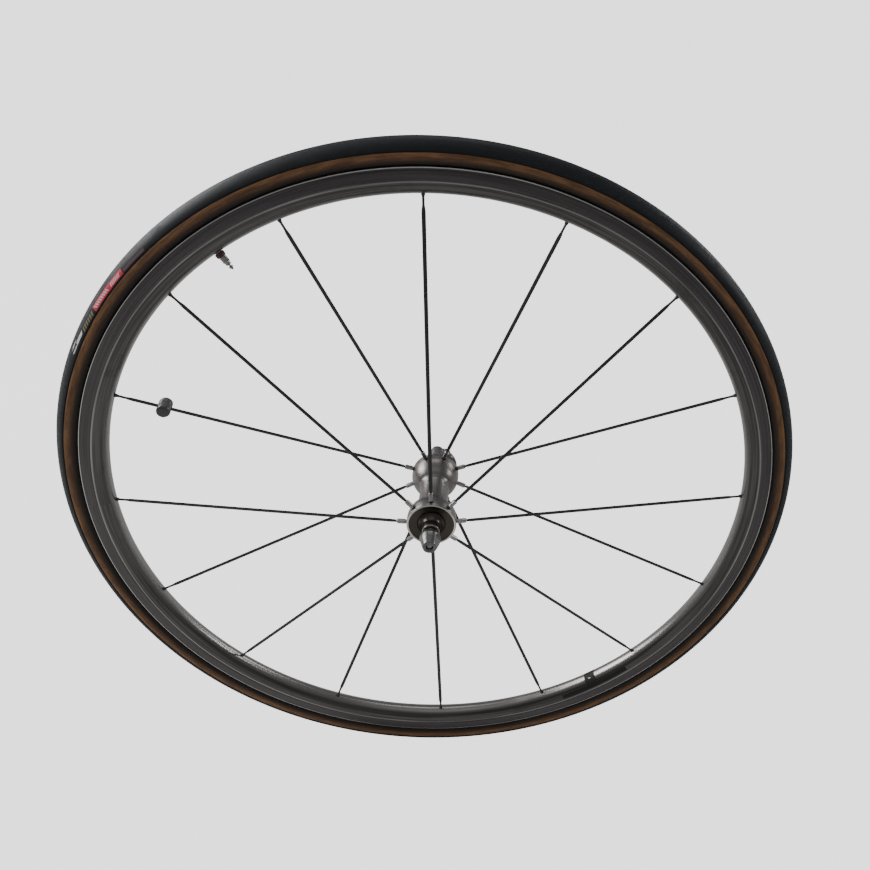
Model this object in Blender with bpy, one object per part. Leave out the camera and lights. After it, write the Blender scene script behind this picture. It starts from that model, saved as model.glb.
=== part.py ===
"""Front road-bicycle wheel with a quick-release skewer.

The axle lies along Y, +Z is up and the origin is the centre of the wheel. The adjusting nut of the
skewer is on the -Y side and its cam lever on the +Y side. Every turned piece is made about its own
local Y axis, as outlines of (radius, along) points.
"""

import math

import bmesh
import bpy
from mathutils import Matrix, Vector

MM = 0.001
TURN = 2 * math.pi
AXLE_LINE = Vector((0, 1, 0))

# Clearances
SEAT = 0.3 * MM  # between pieces that touch on the real wheel
RACE = 0.25 * MM  # between the balls and their races

# Facets of round pieces
RING_SIDES = 32  # two to a spoke, so that each spoke and the valve meet a corner of the rim
HUB_SIDES = 24
SMALL_SIDES = 16
THIN_SIDES = 8
SPOKE_SIDES = 6
BALL_SIDES = 6
SMOOTH_ANGLE = math.radians(40)

# Rim
RIM_RADIUS = 316.5 * MM
RIM_HALF_WIDTH = 10.0 * MM
RIM_DEPTH = 22.9 * MM
RIM_WALL = 1.7 * MM
BRAKE_TRACK = 10.0 * MM  # height of the flat band that the pads press
BRAKE_STEP = 0.4 * MM  # how far the lower face lies inside the track
EDGE_BREAK = 0.4 * MM
HOOK = 0.3 * MM  # how far the rim's edge leans in over the bead
BEAD_SEAT_DEPTH = 5.6 * MM
BEAD_SEAT_WIDTH = 1.9 * MM
WELL_DEPTH = 8.5 * MM
WELL_HALF_WIDTH = 5.2 * MM
FACE_FULLNESS = 1.85  # power of the curve from the track down to the spoke bed
CHAMBER_FULLNESS = 2.4
CHAMBER_SIDE_WALL = 2.3 * MM
BED_WALL = 2.0 * MM
CURVE_STEPS = 4

# Tyre, tube and tape
TYRE_SECTION = 12.1 * MM  # half of the tyre's width
TREAD_EDGE = math.radians(82)
TREAD_CROWN = 2.4 * MM
TREAD_FLATTENING = 1.4 * MM  # how far the tread's inner arc is centred below its outer arc
CASING_WALL = 1.3 * MM
BEAD_WIDTH = 2.2 * MM
TUBE_WALL = 0.9 * MM
TAPE_THICKNESS = 0.4 * MM
CROWN_STEPS = 3  # in half of an arc, the same in the tread, casing and tube so that they nest

# Spokes and nipples
SPOKE_COUNT = 16
FLANGE_REACH = 37.6 * MM  # where the lines of the spokes cross the axle
SPOKE_RADIUS = 1.0 * MM
BLADE_HALF_WIDTH = 1.5 * MM
BLADE_HALF_THICKNESS = 0.55 * MM
BLADE_TAPER = 5.0 * MM
BLADE_TO_RIM = 9.0 * MM
BLADE_TO_NIPPLE = 3.0 * MM
HEAD_RADIUS = 1.7 * MM
HEAD_HEIGHT = 1.0 * MM
NIPPLE_RADIUS = 1.75 * MM
NIPPLE_NECK_RADIUS = 1.5 * MM
NIPPLE_NECK = 1.2 * MM
NIPPLE_OUT = 9.4 * MM  # how far a nipple stands out of the hub
NIPPLE_IN = 4.4 * MM  # how far it goes into the hub

# Hub shell
WAIST_RADIUS = 13.6 * MM
BULB_RADIUS = 22.5 * MM
BULB_CENTRE = 33.3 * MM
FLANGE_FACE = 40.3 * MM
FLANGE_CHAMFER = 0.9 * MM
DISH_LIP = 0.6 * MM
DISH_DEPTH = 1.8 * MM
HUB_BORE = 10.0 * MM
BULB_STEPS = 4

# Bearings
BALL_RADIUS = 2.38 * MM
BALL_PITCH_RADIUS = 8.9 * MM
BALL_LINE = 34.2 * MM
BALL_COUNT = 9
CUP_WALL = 0.92 * MM  # between the balls and the hub
CUP_BACK = 1.42 * MM  # from the balls to its inner end
CUP_LIP = 0.02 * MM  # from the balls to its outer end
RACE_STEPS = 3
CAGE_HALF = 0.5 * MM
SEAL_THICKNESS = 1.2 * MM
CONE_NECK_RADIUS = 7.6 * MM
CONE_END = 43.0 * MM

# Axle and locknuts
LOCKNUT_FACE = 50.0 * MM
LOCKNUT_RADIUS = 8.0 * MM
LOCKNUT_BREAK = 0.6 * MM
AXLE_RADIUS = 4.5 * MM
AXLE_BORE = 2.9 * MM
AXLE_PROUD = 5.0 * MM  # of each locknut, so that it goes into the fork end

# Skewer
ROD_RADIUS = 2.5 * MM
FORK_END = 6.3 * MM  # the thickness that is clamped at each side
CLAMP_RADIUS = 9.2 * MM
SPRING_RECESS_RADIUS = 6.8 * MM
SPRING_RECESS_DEPTH = 3.0 * MM
SPRING_WIRE = 0.45 * MM
SPRING_SMALL_RADIUS = 3.65 * MM
SPRING_TURNS = 2.5
SPRING_STEPS = 22
NUT_LENGTH = 14.3 * MM
NUT_SKIRT = 1.6 * MM
NUT_TIP_RADIUS = 6.5 * MM
NUT_TIP_ROUND = 0.9 * MM
NUT_FLAT = 7.2 * MM  # from the middle of the nut to each finger flat
NUT_FLAT_START = 4.0 * MM  # from the clamping face
NUT_TURN = math.radians(-22.5)  # where its flats stand at rest, from facing along X
ROD_SHORT_OF_NUT = 2.0 * MM
CAM_FROM_CLAMP = 14.0 * MM
CAM_THROW = 0.9 * MM
CAM_RADIUS = 2.7 * MM
CAM_HALF_WIDTH = ROD_RADIUS + SEAT  # wide enough for the rod between the two journals
JOURNAL_ROOM = 0.03 * MM  # how much more than the rod's eye it reaches
JOURNAL_WIDTH = 1.9 * MM
PIVOT_TAIL_RADIUS = 2.6 * MM
PIVOT_TAIL_PROUD = 0.2 * MM
HOUSING_WALL = 1.5 * MM
HOUSING_BASE = 2.7 * MM
HOUSING_CAP = 3.4 * MM  # metal between the cam and the end of the dome
BARREL_WALL = 0.8 * MM  # round the lever's journal
DOME_STEPS = 4
EYE_WALL = 1.1 * MM
LEVER_BOSS_STEP = 1.0 * MM  # how far it stands out round the journal
LEVER_BOSS_WIDTH = 6.6 * MM
LEVER_BOSS_ROUND = 0.9 * MM
LEVER_REACH = 50.0 * MM
LEVER_ROOT_WIDTH = 3.6 * MM
LEVER_TIP_WIDTH = 5.6 * MM
LEVER_ROOT_THICKNESS = 4.4 * MM
LEVER_TIP_THICKNESS = 1.9 * MM
LEVER_TIP_TURN_OUT = 4.0 * MM
LEVER_BOW = 6.2 * MM  # to the side, at its most
LEVER_BOW_EARLY = 0.7  # less than one puts the most of the bow nearer to the boss
LEVER_STEPS = 10

# Valve
VALVE_ANGLE = math.radians(123.75)  # midway between two spokes
VALVE_RADIUS = 3.0 * MM
VALVE_STANDS_OUT = 17.0 * MM
VALVE_STEM_OUT = 9.6 * MM
VALVE_CORE_RADIUS = 2.3 * MM
VALVE_CORE_OUT = 12.2 * MM
VALVE_BORE = 1.3 * MM
VALVE_PIN_RADIUS = 0.8 * MM
VALVE_TIP_RADIUS = 1.8 * MM
VALVE_TIP_LENGTH = 2.6 * MM
VALVE_PIN_IN = 5.0 * MM
VALVE_FOOT_HEIGHT = 1.0 * MM
LOCK_RING_RADIUS = 4.2 * MM
LOCK_RING_HEIGHT = 3.8 * MM

# Spoke magnet
MAGNET_SPOKE = 7  # counted from +X towards +Z
MAGNET_FROM_BED = 40.6 * MM
MAGNET_RADIUS = 6.4 * MM
MAGNET_HALF_LENGTH = 8.2 * MM
MAGNET_ROUND = 2.6 * MM
MAGNET_SCREW_RADIUS = 3.4 * MM
MAGNET_SCREW_INNER_END = 3.2 * MM

# Places that follow from the sizes above
SPOKE_BED = RIM_RADIUS - RIM_DEPTH
TRACK_FOOT = RIM_RADIUS - BRAKE_TRACK
RIM_LIP = RIM_HALF_WIDTH - RIM_WALL
BEAD_SEAT = RIM_RADIUS - BEAD_SEAT_DEPTH
WELL_FLOOR = RIM_RADIUS - WELL_DEPTH
CHAMBER_TOP = WELL_FLOOR - RIM_WALL
CHAMBER_FLOOR = SPOKE_BED + BED_WALL
TYRE_CENTRE = RIM_RADIUS + math.sqrt(TYRE_SECTION**2 - RIM_LIP**2)
CASING_CENTRE = TYRE_CENTRE - TREAD_FLATTENING
CASING_FLANK = TYRE_CENTRE - TYRE_SECTION / 2
TREAD_INNER = TYRE_SECTION - TREAD_CROWN + TREAD_FLATTENING
CASING_CROWN = TREAD_INNER - SEAT
CASING_INNER = CASING_CROWN - CASING_WALL
TUBE_SECTION = CASING_INNER - SEAT
TAPE_BOTTOM = WELL_FLOOR + SEAT
TUBE_BOTTOM = TAPE_BOTTOM + TAPE_THICKNESS + SEAT
SPOKE_TILT = math.atan2(FLANGE_REACH, SPOKE_BED)
MAGNET_PLACE = SPOKE_BED - MAGNET_FROM_BED
CUP_RADIUS = BALL_PITCH_RADIUS + BALL_RADIUS + CUP_WALL
CUP_INNER_END = BALL_LINE - BALL_RADIUS - CUP_BACK
CUP_OUTER_END = BALL_LINE + BALL_RADIUS + CUP_LIP
SEAT_BORE = CUP_RADIUS + SEAT
SEAL_LINE = CUP_OUTER_END + 2 * SEAT
AXLE_HOLE = AXLE_RADIUS + SEAT
ROD_HOLE = ROD_RADIUS + SEAT
AXLE_END = LOCKNUT_FACE + AXLE_PROUD
CLAMP_FACE = LOCKNUT_FACE + FORK_END
CAM_LINE = CLAMP_FACE + CAM_FROM_CLAMP
SLOT_HALF_WIDTH = CAM_RADIUS + SEAT
EYE_REACH = SLOT_HALF_WIDTH + EYE_WALL + math.hypot(CAM_THROW, CAM_THROW)
JOURNAL_RADIUS = EYE_REACH + JOURNAL_ROOM
CAVITY_RADIUS = JOURNAL_RADIUS + SEAT
HOUSING_RADIUS = CAVITY_RADIUS + HOUSING_WALL
BARREL_RADIUS = CAVITY_RADIUS + BARREL_WALL
BARREL_END = HOUSING_RADIUS - SEAT
LEVER_BOSS_RADIUS = JOURNAL_RADIUS + LEVER_BOSS_STEP
JOURNAL_FAR_END = CAM_HALF_WIDTH + JOURNAL_WIDTH
CAVITY_END = JOURNAL_FAR_END + SEAT
HOUSING_END = CAM_LINE + CAVITY_RADIUS + HOUSING_CAP
NUT_END = CLAMP_FACE + NUT_LENGTH
VALVE_HOLE = VALVE_RADIUS + SEAT
VALVE_FOOT_RADIUS = WELL_HALF_WIDTH - TUBE_WALL - 2 * SEAT  # as wide as the tube is inside
VALVE_SEAT = SPOKE_BED - LOCK_RING_RADIUS * math.tan(math.pi / RING_SIDES)


def clear_scene():
    for old in list(bpy.data.objects):
        bpy.data.objects.remove(old, do_unlink=True)


def finish(name, colour, roughness, metallic):
    material = bpy.data.materials.new(name)
    material.use_nodes = True
    shader = material.node_tree.nodes["Principled BSDF"]
    shader.inputs["Base Color"].default_value = (*colour, 1)
    shader.inputs["Roughness"].default_value = roughness
    shader.inputs["Metallic"].default_value = metallic
    return material


SATIN_ALLOY = ((0.42, 0.41, 0.39), 0.35, 1.0)
GREY_ALLOY = ((0.13, 0.125, 0.12), 0.42, 1.0)
POLISHED_ALLOY = ((0.62, 0.61, 0.59), 0.2, 1.0)
BEARING_STEEL = ((0.5, 0.5, 0.5), 0.2, 1.0)
PLATED_STEEL = ((0.45, 0.44, 0.42), 0.3, 1.0)
BLACK_METAL = ((0.02, 0.02, 0.02), 0.4, 0.6)
TREAD_RUBBER = ((0.018, 0.019, 0.021), 0.6, 0.0)
TAN_CASING = ((0.16, 0.08, 0.035), 0.75, 0.0)
TUBE_RUBBER = ((0.03, 0.03, 0.03), 0.5, 0.0)
TAPE_CLOTH = ((0.5, 0.06, 0.05), 0.7, 0.0)
SEAL_RUBBER = ((0.02, 0.02, 0.02), 0.6, 0.0)
BROWN_PLASTIC = ((0.05, 0.015, 0.012), 0.45, 0.0)
GREY_PLASTIC = ((0.07, 0.07, 0.07), 0.45, 0.0)


def as_object(name, bm, look, parent=None):
    """Turns a mesh under construction into a named object with its own material."""
    bmesh.ops.recalc_face_normals(bm, faces=bm.faces)
    mesh = bpy.data.meshes.new(name)
    bm.to_mesh(mesh)
    bm.free()
    mesh.shade_smooth()
    mesh.set_sharp_from_angle(angle=SMOOTH_ANGLE)
    obj = bpy.data.objects.new(name, mesh)
    bpy.context.scene.collection.objects.link(obj)
    obj.parent = parent
    if look:
        mesh.materials.append(finish(name, *look))
    return obj


def holder(name, place=(0, 0, 0)):
    """An empty on a joint's axis, which the pieces of one moving body hang from."""
    empty = bpy.data.objects.new(name, None)
    empty.location = place
    bpy.context.scene.collection.objects.link(empty)
    return empty


def helper(obj):
    """Marks a cutter or an added shape that isn't a piece of its own."""
    obj.hide_render = True
    obj.display_type = "WIRE"
    return obj


def combine(target, other, operation):
    modifier = target.modifiers.new(other.name, "BOOLEAN")
    modifier.operation = operation
    modifier.solver = "EXACT"
    modifier.object = other


def skin_loops(bm, loops, closed):
    """Joins each loop of points to the next one with faces. A loop of one point is a tip."""
    rings = [[bm.verts.new(point) for point in loop] for loop in loops]
    following = rings[1:] + rings[:1] if closed else rings[1:]
    for here, there in zip(rings, following):
        sides = max(len(here), len(there))
        for k in range(sides):
            corners = []
            for ring, step in ((here, k), (here, k + 1), (there, k + 1), (there, k)):
                corner = ring[step % len(ring)]
                if corner not in corners:
                    corners.append(corner)
            bm.faces.new(corners)
    if not closed:
        for end in (rings[0], rings[-1]):
            if len(end) > 1:
                bm.faces.new(end)
    return bm


def circle(radius, along, sides, shift=0.0):
    """A loop round the local Y axis, or one point where the radius is nothing."""
    if radius == 0:
        return [Vector((0, along, 0))]
    angles = (TURN * k / sides for k in range(sides))
    return [Vector((shift + radius * math.cos(a), along, radius * math.sin(a))) for a in angles]


def turned(name, outline, sides, look, parent=None):
    """Turns an outline of (radius, along) points. One that starts on the axis also ends on it."""
    solid = outline[0][0] == 0
    loops = [circle(radius, along, sides) for radius, along in outline]
    return as_object(name, skin_loops(bmesh.new(), loops, not solid), look, parent)


def both_sides(half):
    """A half outline from the middle plane out and back to it, with its mirror image."""
    mirrored = [(radius, -along) for radius, along in reversed(half) if along > 0]
    return half + mirrored


def arc(centre, radius, start, end, steps):
    """Points round (centre, 0), with angles from the outward direction towards +Y."""
    angles = (start + (end - start) * k / steps for k in range(steps + 1))
    return [(centre + radius * math.cos(a), radius * math.sin(a)) for a in angles]


def full_curve(top, half_width, bottom, fullness, steps):
    """A curve from (top, half_width) down to (bottom, 0), fuller as its power grows."""
    points = []
    for k in range(1, steps + 1):
        angle = math.pi / 2 * k / steps
        drop = math.sin(angle) ** (2 / fullness)
        width = max(math.cos(angle), 0.0) ** (2 / fullness)
        points.append((top - (top - bottom) * drop, half_width * width if k < steps else 0.0))
    return points


def spoke_frame(angle, side):
    """Local Y runs out along a spoke's line from the axle, and local X along the wheel's rotation."""
    outward = Vector((math.cos(angle), 0, math.sin(angle)))
    along = outward * math.cos(SPOKE_TILT) - AXLE_LINE * (side * math.sin(SPOKE_TILT))
    tangent = Vector((-math.sin(angle), 0, math.cos(angle)))
    frame = Matrix((tangent, along, tangent.cross(along))).transposed().to_4x4()
    frame.translation = AXLE_LINE * (side * FLANGE_REACH)
    return frame


def spoke_side(number):
    """-1 for a spoke of the nut side, +1 for one of the lever side."""
    return -1 if number % 2 == 0 else 1


def spoke_angle(number):
    return TURN * number / SPOKE_COUNT


def down_spoke(radius):
    """Distance along a spoke's line to the point at this distance from the axle."""
    return radius / math.cos(SPOKE_TILT)


def put(obj, frame):
    obj.location = frame.to_translation()
    obj.rotation_euler = frame.to_euler()


def valve_frame():
    outward = Vector((math.cos(VALVE_ANGLE), 0, math.sin(VALVE_ANGLE)))
    tangent = Vector((-math.sin(VALVE_ANGLE), 0, math.cos(VALVE_ANGLE)))
    return Matrix((tangent, outward, tangent.cross(outward))).transposed().to_4x4()


def pins(name, frames, radius, start, end, sides):
    """One cutter made of a straight pin in each of the frames."""
    bm = bmesh.new()
    for frame in frames:
        loops = [[frame @ p for p in circle(radius, along, sides)] for along in (start, end)]
        skin_loops(bm, loops, False)
    return helper(as_object(name, bm, None))


def spoke_frames(numbers):
    return [spoke_frame(spoke_angle(n), spoke_side(n)) for n in numbers]


def make_rim(wheel):
    half = [
        (WELL_FLOOR, 0.0),
        (WELL_FLOOR, WELL_HALF_WIDTH),
        (BEAD_SEAT, RIM_LIP - BEAD_SEAT_WIDTH),
        (BEAD_SEAT, RIM_LIP),
        (RIM_RADIUS, RIM_LIP - HOOK),
        (RIM_RADIUS, RIM_HALF_WIDTH - EDGE_BREAK),
        (RIM_RADIUS - EDGE_BREAK, RIM_HALF_WIDTH),
        (TRACK_FOOT, RIM_HALF_WIDTH),
        (TRACK_FOOT - BRAKE_STEP, RIM_HALF_WIDTH - BRAKE_STEP),
    ]
    top, width = half[-1]
    half += full_curve(top, width, SPOKE_BED, FACE_FULLNESS, CURVE_STEPS)
    rim = turned("rim", both_sides(half), RING_SIDES, GREY_ALLOY, wheel)
    width = RIM_HALF_WIDTH - CHAMBER_SIDE_WALL
    chamber = [(CHAMBER_TOP, 0.0), (CHAMBER_TOP, width)]
    chamber += full_curve(CHAMBER_TOP, width, CHAMBER_FLOOR, CHAMBER_FULLNESS, CURVE_STEPS)
    combine(rim, helper(turned("rim_chamber", both_sides(chamber), RING_SIDES, None)), "DIFFERENCE")
    drill = (down_spoke(SPOKE_BED - BED_WALL), down_spoke(CHAMBER_FLOOR + BED_WALL))
    hole = SPOKE_RADIUS + SEAT
    frames = spoke_frames(range(SPOKE_COUNT))
    combine(rim, pins("rim_spoke_holes", frames, hole, *drill, SPOKE_SIDES), "DIFFERENCE")
    cut_for_valve(rim)


def cut_for_valve(piece):
    """Drills the valve's hole right through a ring, and so opens what is hollow in it."""
    start, end = SPOKE_BED - BED_WALL, TUBE_BOTTOM + TUBE_WALL + SEAT
    name = piece.name + "_valve_hole"
    drill = pins(name, [valve_frame()], VALVE_HOLE, start, end, SMALL_SIDES)
    combine(piece, drill, "DIFFERENCE")


def make_tyre(wheel):
    outer = arc(TYRE_CENTRE, TYRE_SECTION, -TREAD_EDGE, TREAD_EDGE, 2 * CROWN_STEPS)
    inner = arc(CASING_CENTRE, TREAD_INNER, TREAD_EDGE, -TREAD_EDGE, 2 * CROWN_STEPS)
    turned("tyre_tread", outer + inner, RING_SIDES, TREAD_RUBBER, wheel)
    bead_foot = BEAD_SEAT + SEAT
    bead_inside = RIM_LIP - BEAD_WIDTH
    crown = arc(CASING_CENTRE, CASING_CROWN, 0, TREAD_EDGE, CROWN_STEPS)
    half = crown + [
        (TYRE_CENTRE - 2 * SEAT, TYRE_SECTION - SEAT),
        (CASING_FLANK, TYRE_SECTION * math.cos(math.radians(30)) - SEAT),
        (RIM_RADIUS, RIM_LIP - HOOK - SEAT),
        (bead_foot, RIM_LIP - SEAT),
        (bead_foot, bead_inside),
        (RIM_RADIUS, bead_inside),
        (CASING_FLANK, CASING_INNER - CASING_WALL),
    ]
    half += reversed(arc(CASING_CENTRE, CASING_INNER, 0, math.pi / 2, CROWN_STEPS))
    outline = half + [(radius, -along) for radius, along in reversed(half) if along > SEAT / 2]
    outline = split_ring(outline)
    turned("tyre_casing", outline, RING_SIDES, TAN_CASING, wheel)


def split_ring(outline):
    """Drops a point that repeats the one before it, where an outline crosses the middle plane."""
    kept = []
    for point in outline:
        if not kept or math.dist(point, kept[-1]) > SEAT / 10:
            kept.append(point)
    return kept


def make_tube(wheel):
    def half_section(wall):
        half = arc(CASING_CENTRE, TUBE_SECTION - wall, 0, math.pi / 2, CROWN_STEPS)
        half.append((RIM_RADIUS, RIM_LIP - BEAD_WIDTH - SEAT - wall))
        half.append((TUBE_BOTTOM + wall, WELL_HALF_WIDTH - SEAT - wall))
        half.append((TUBE_BOTTOM + wall, 0.0))
        return half

    tube = turned("inner_tube", both_sides(half_section(0.0)), RING_SIDES, TUBE_RUBBER, wheel)
    hollow = turned("tube_hollow", both_sides(half_section(TUBE_WALL)), RING_SIDES, None)
    combine(tube, helper(hollow), "DIFFERENCE")
    cut_for_valve(tube)


def make_tape(wheel):
    top = TAPE_BOTTOM + TAPE_THICKNESS
    width = WELL_HALF_WIDTH - SEAT
    outline = [(TAPE_BOTTOM, -width), (TAPE_BOTTOM, width), (top, width), (top, -width)]
    cut_for_valve(turned("rim_tape", outline, RING_SIDES, TAPE_CLOTH, wheel))


def spoke_mesh():
    """One spoke: round in the nipple, a flat blade along its middle, round again, with a head."""
    hub_end = BULB_RADIUS - NIPPLE_IN + NIPPLE_NECK
    blade_start = BULB_RADIUS + NIPPLE_OUT + BLADE_TO_NIPPLE
    blade_end = SPOKE_BED - BLADE_TO_RIM
    under_head = CHAMBER_FLOOR + 2 * SEAT + HEAD_RADIUS * math.sin(SPOKE_TILT)
    sections = [
        (hub_end, SPOKE_RADIUS, SPOKE_RADIUS),
        (blade_start, SPOKE_RADIUS, SPOKE_RADIUS),
        (blade_start + BLADE_TAPER, BLADE_HALF_WIDTH, BLADE_HALF_THICKNESS),
        (blade_end - BLADE_TAPER, BLADE_HALF_WIDTH, BLADE_HALF_THICKNESS),
        (blade_end, SPOKE_RADIUS, SPOKE_RADIUS),
        (under_head, SPOKE_RADIUS, SPOKE_RADIUS),
        (under_head, HEAD_RADIUS, HEAD_RADIUS),
        (under_head + HEAD_HEIGHT, HEAD_RADIUS, HEAD_RADIUS),
    ]
    loops = []
    for radius, width, thickness in sections:
        ring = circle(1.0, down_spoke(radius), SPOKE_SIDES)
        loops.append([Vector((p.x * width, p.y, p.z * thickness)) for p in ring])
    return skin_loops(bmesh.new(), loops, False)


def nipple_outline():
    start = down_spoke(BULB_RADIUS - NIPPLE_IN)
    end = down_spoke(BULB_RADIUS + NIPPLE_OUT)
    bore = SPOKE_RADIUS + SEAT
    return [
        (bore, start),
        (NIPPLE_RADIUS, start),
        (NIPPLE_RADIUS, end - NIPPLE_NECK),
        (NIPPLE_NECK_RADIUS, end),
        (bore, end),
    ]


def make_spokes(wheel):
    for number in range(SPOKE_COUNT):
        frame = spoke_frame(spoke_angle(number), spoke_side(number))
        label = f"{number + 1:02d}"
        put(as_object("spoke_" + label, spoke_mesh(), BLACK_METAL, wheel), frame)
        nipple = turned("nipple_" + label, nipple_outline(), SPOKE_SIDES, PLATED_STEEL, wheel)
        put(nipple, frame)


def make_hub_shell(wheel):
    neck = BULB_CENTRE - math.sqrt(BULB_RADIUS**2 - WAIST_RADIUS**2)
    start = math.atan2(WAIST_RADIUS, BULB_CENTRE - neck)
    half = [(WAIST_RADIUS, 0.0)]
    for k in range(BULB_STEPS + 1):
        angle = start + (math.pi / 2 - start) * k / BULB_STEPS
        along = BULB_CENTRE - BULB_RADIUS * math.cos(angle)
        half.append((BULB_RADIUS * math.sin(angle), along))
    lip = BULB_RADIUS - FLANGE_CHAMFER
    half += [
        (BULB_RADIUS, FLANGE_FACE - FLANGE_CHAMFER),
        (lip, FLANGE_FACE),
        (lip - DISH_LIP, FLANGE_FACE),
        (SEAT_BORE, FLANGE_FACE - DISH_DEPTH),
        (SEAT_BORE, CUP_INNER_END - SEAT),
        (HUB_BORE, CUP_INNER_END - SEAT),
    ]
    outline = half + [(radius, -along) for radius, along in reversed(half[1:])]
    hub = turned("hub_shell", outline, HUB_SIDES, SATIN_ALLOY, wheel)
    drill = (down_spoke(BULB_RADIUS - NIPPLE_IN - SEAT), down_spoke(BULB_RADIUS + NIPPLE_NECK))
    frames = spoke_frames(range(SPOKE_COUNT))
    hole = NIPPLE_RADIUS + SEAT
    combine(hub, pins("hub_nipple_holes", frames, hole, *drill, SPOKE_SIDES), "DIFFERENCE")


def facing(side, outline):
    """An outline made for the +Y side, turned to face the side given."""
    return [(radius, side * along) for radius, along in outline]


def race(start, end):
    """The groove that the balls run in, with angles from the outward direction towards the end."""
    radius = BALL_RADIUS + RACE
    angles = (start + (end - start) * k / RACE_STEPS for k in range(RACE_STEPS + 1))
    return [
        (BALL_PITCH_RADIUS + radius * math.cos(a), BALL_LINE + radius * math.sin(a)) for a in angles
    ]


def make_ball_ring(side, label):
    """A cage with its balls, which rolls between the cup and the cone."""
    line = side * BALL_LINE
    inner, outer = BALL_PITCH_RADIUS - CAGE_HALF, BALL_PITCH_RADIUS + CAGE_HALF
    low, high = line - CAGE_HALF, line + CAGE_HALF
    outline = [(inner, low), (outer, low), (outer, high), (inner, high)]
    parent = holder("ball_line_" + label)
    cage = turned("ball_ring_" + label, outline, 2 * BALL_COUNT, BEARING_STEEL, parent)
    bm = bmesh.new()
    for k in range(BALL_COUNT):
        angle = TURN * k / BALL_COUNT
        centre = Vector((math.cos(angle), 0, math.sin(angle))) * BALL_PITCH_RADIUS
        place = Matrix.Translation(centre + AXLE_LINE * line)
        bmesh.ops.create_uvsphere(
            bm, u_segments=BALL_SIDES, v_segments=BALL_SIDES // 2 + 1, radius=BALL_RADIUS, matrix=place
        )
    combine(cage, helper(as_object("balls_" + label, bm, None)), "UNION")


def make_bearing(side, label, wheel):
    cup = [(CUP_RADIUS, CUP_INNER_END), (CUP_RADIUS, CUP_OUTER_END)]
    groove = race(math.radians(20), math.radians(-100))
    cup += [(groove[0][0] + SEAT, CUP_OUTER_END)]
    cup += groove + [(groove[-1][0], CUP_INNER_END)]
    turned("bearing_cup_" + label, facing(side, cup), HUB_SIDES, BEARING_STEEL, wheel)
    make_ball_ring(side, label)
    groove = race(math.radians(200), math.radians(100))
    cone = [(AXLE_HOLE, groove[0][1] - SEAT)] + groove
    cone += [
        (CONE_NECK_RADIUS, groove[-1][1] + SEAT),
        (CONE_NECK_RADIUS, CONE_END),
        (AXLE_HOLE, CONE_END),
    ]
    turned("cone_" + label, facing(side, cone), HUB_SIDES, PLATED_STEEL)
    seal_bore = CONE_NECK_RADIUS + SEAT + RACE
    seal = [
        (seal_bore, SEAL_LINE),
        (CUP_RADIUS, SEAL_LINE),
        (CUP_RADIUS, SEAL_LINE + SEAL_THICKNESS),
        (seal_bore, SEAL_LINE + SEAL_THICKNESS),
    ]
    turned("seal_" + label, facing(side, seal), HUB_SIDES, SEAL_RUBBER, wheel)
    locknut = [
        (AXLE_HOLE, CONE_END + SEAT),
        (LOCKNUT_RADIUS - LOCKNUT_BREAK, CONE_END + SEAT),
        (LOCKNUT_RADIUS, CONE_END + SEAT + LOCKNUT_BREAK),
        (LOCKNUT_RADIUS, LOCKNUT_FACE - LOCKNUT_BREAK),
        (LOCKNUT_RADIUS - LOCKNUT_BREAK, LOCKNUT_FACE),
        (AXLE_HOLE, LOCKNUT_FACE),
    ]
    turned("locknut_" + label, facing(side, locknut), HUB_SIDES, PLATED_STEEL)


def make_axle():
    outline = [
        (AXLE_BORE, -AXLE_END),
        (AXLE_RADIUS, -AXLE_END),
        (AXLE_RADIUS, AXLE_END),
        (AXLE_BORE, AXLE_END),
    ]
    turned("axle", outline, SMALL_SIDES, PLATED_STEEL)


def make_spring(name, side, parent):
    """A conical spring in its recess, its small coil next to the end of the axle."""
    start = AXLE_END + SEAT + SPRING_WIRE
    end = CLAMP_FACE + SPRING_RECESS_DEPTH - SEAT - SPRING_WIRE
    large = SPRING_RECESS_RADIUS - SEAT - SPRING_WIRE
    loops = []
    for k in range(SPRING_STEPS + 1):
        share = k / SPRING_STEPS
        angle = TURN * SPRING_TURNS * share
        radius = SPRING_SMALL_RADIUS + (large - SPRING_SMALL_RADIUS) * share
        outward = Vector((math.cos(angle), 0, math.sin(angle)))
        centre = outward * radius + AXLE_LINE * (side * (start + (end - start) * share))
        angles = [TURN * j / SPOKE_SIDES for j in range(SPOKE_SIDES)]
        ring = [outward * math.cos(a) + AXLE_LINE * math.sin(a) for a in angles]
        loops.append([centre + p * SPRING_WIRE for p in ring])
    as_object(name, skin_loops(bmesh.new(), loops, False), PLATED_STEEL, parent)


def box(bm, low, high):
    """A block between two corners."""
    size = Vector(high) - Vector(low)
    place = Matrix.Translation((Vector(high) + Vector(low)) / 2) @ Matrix.Diagonal((*size, 1))
    bmesh.ops.create_cube(bm, size=1.0, matrix=place)


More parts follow.
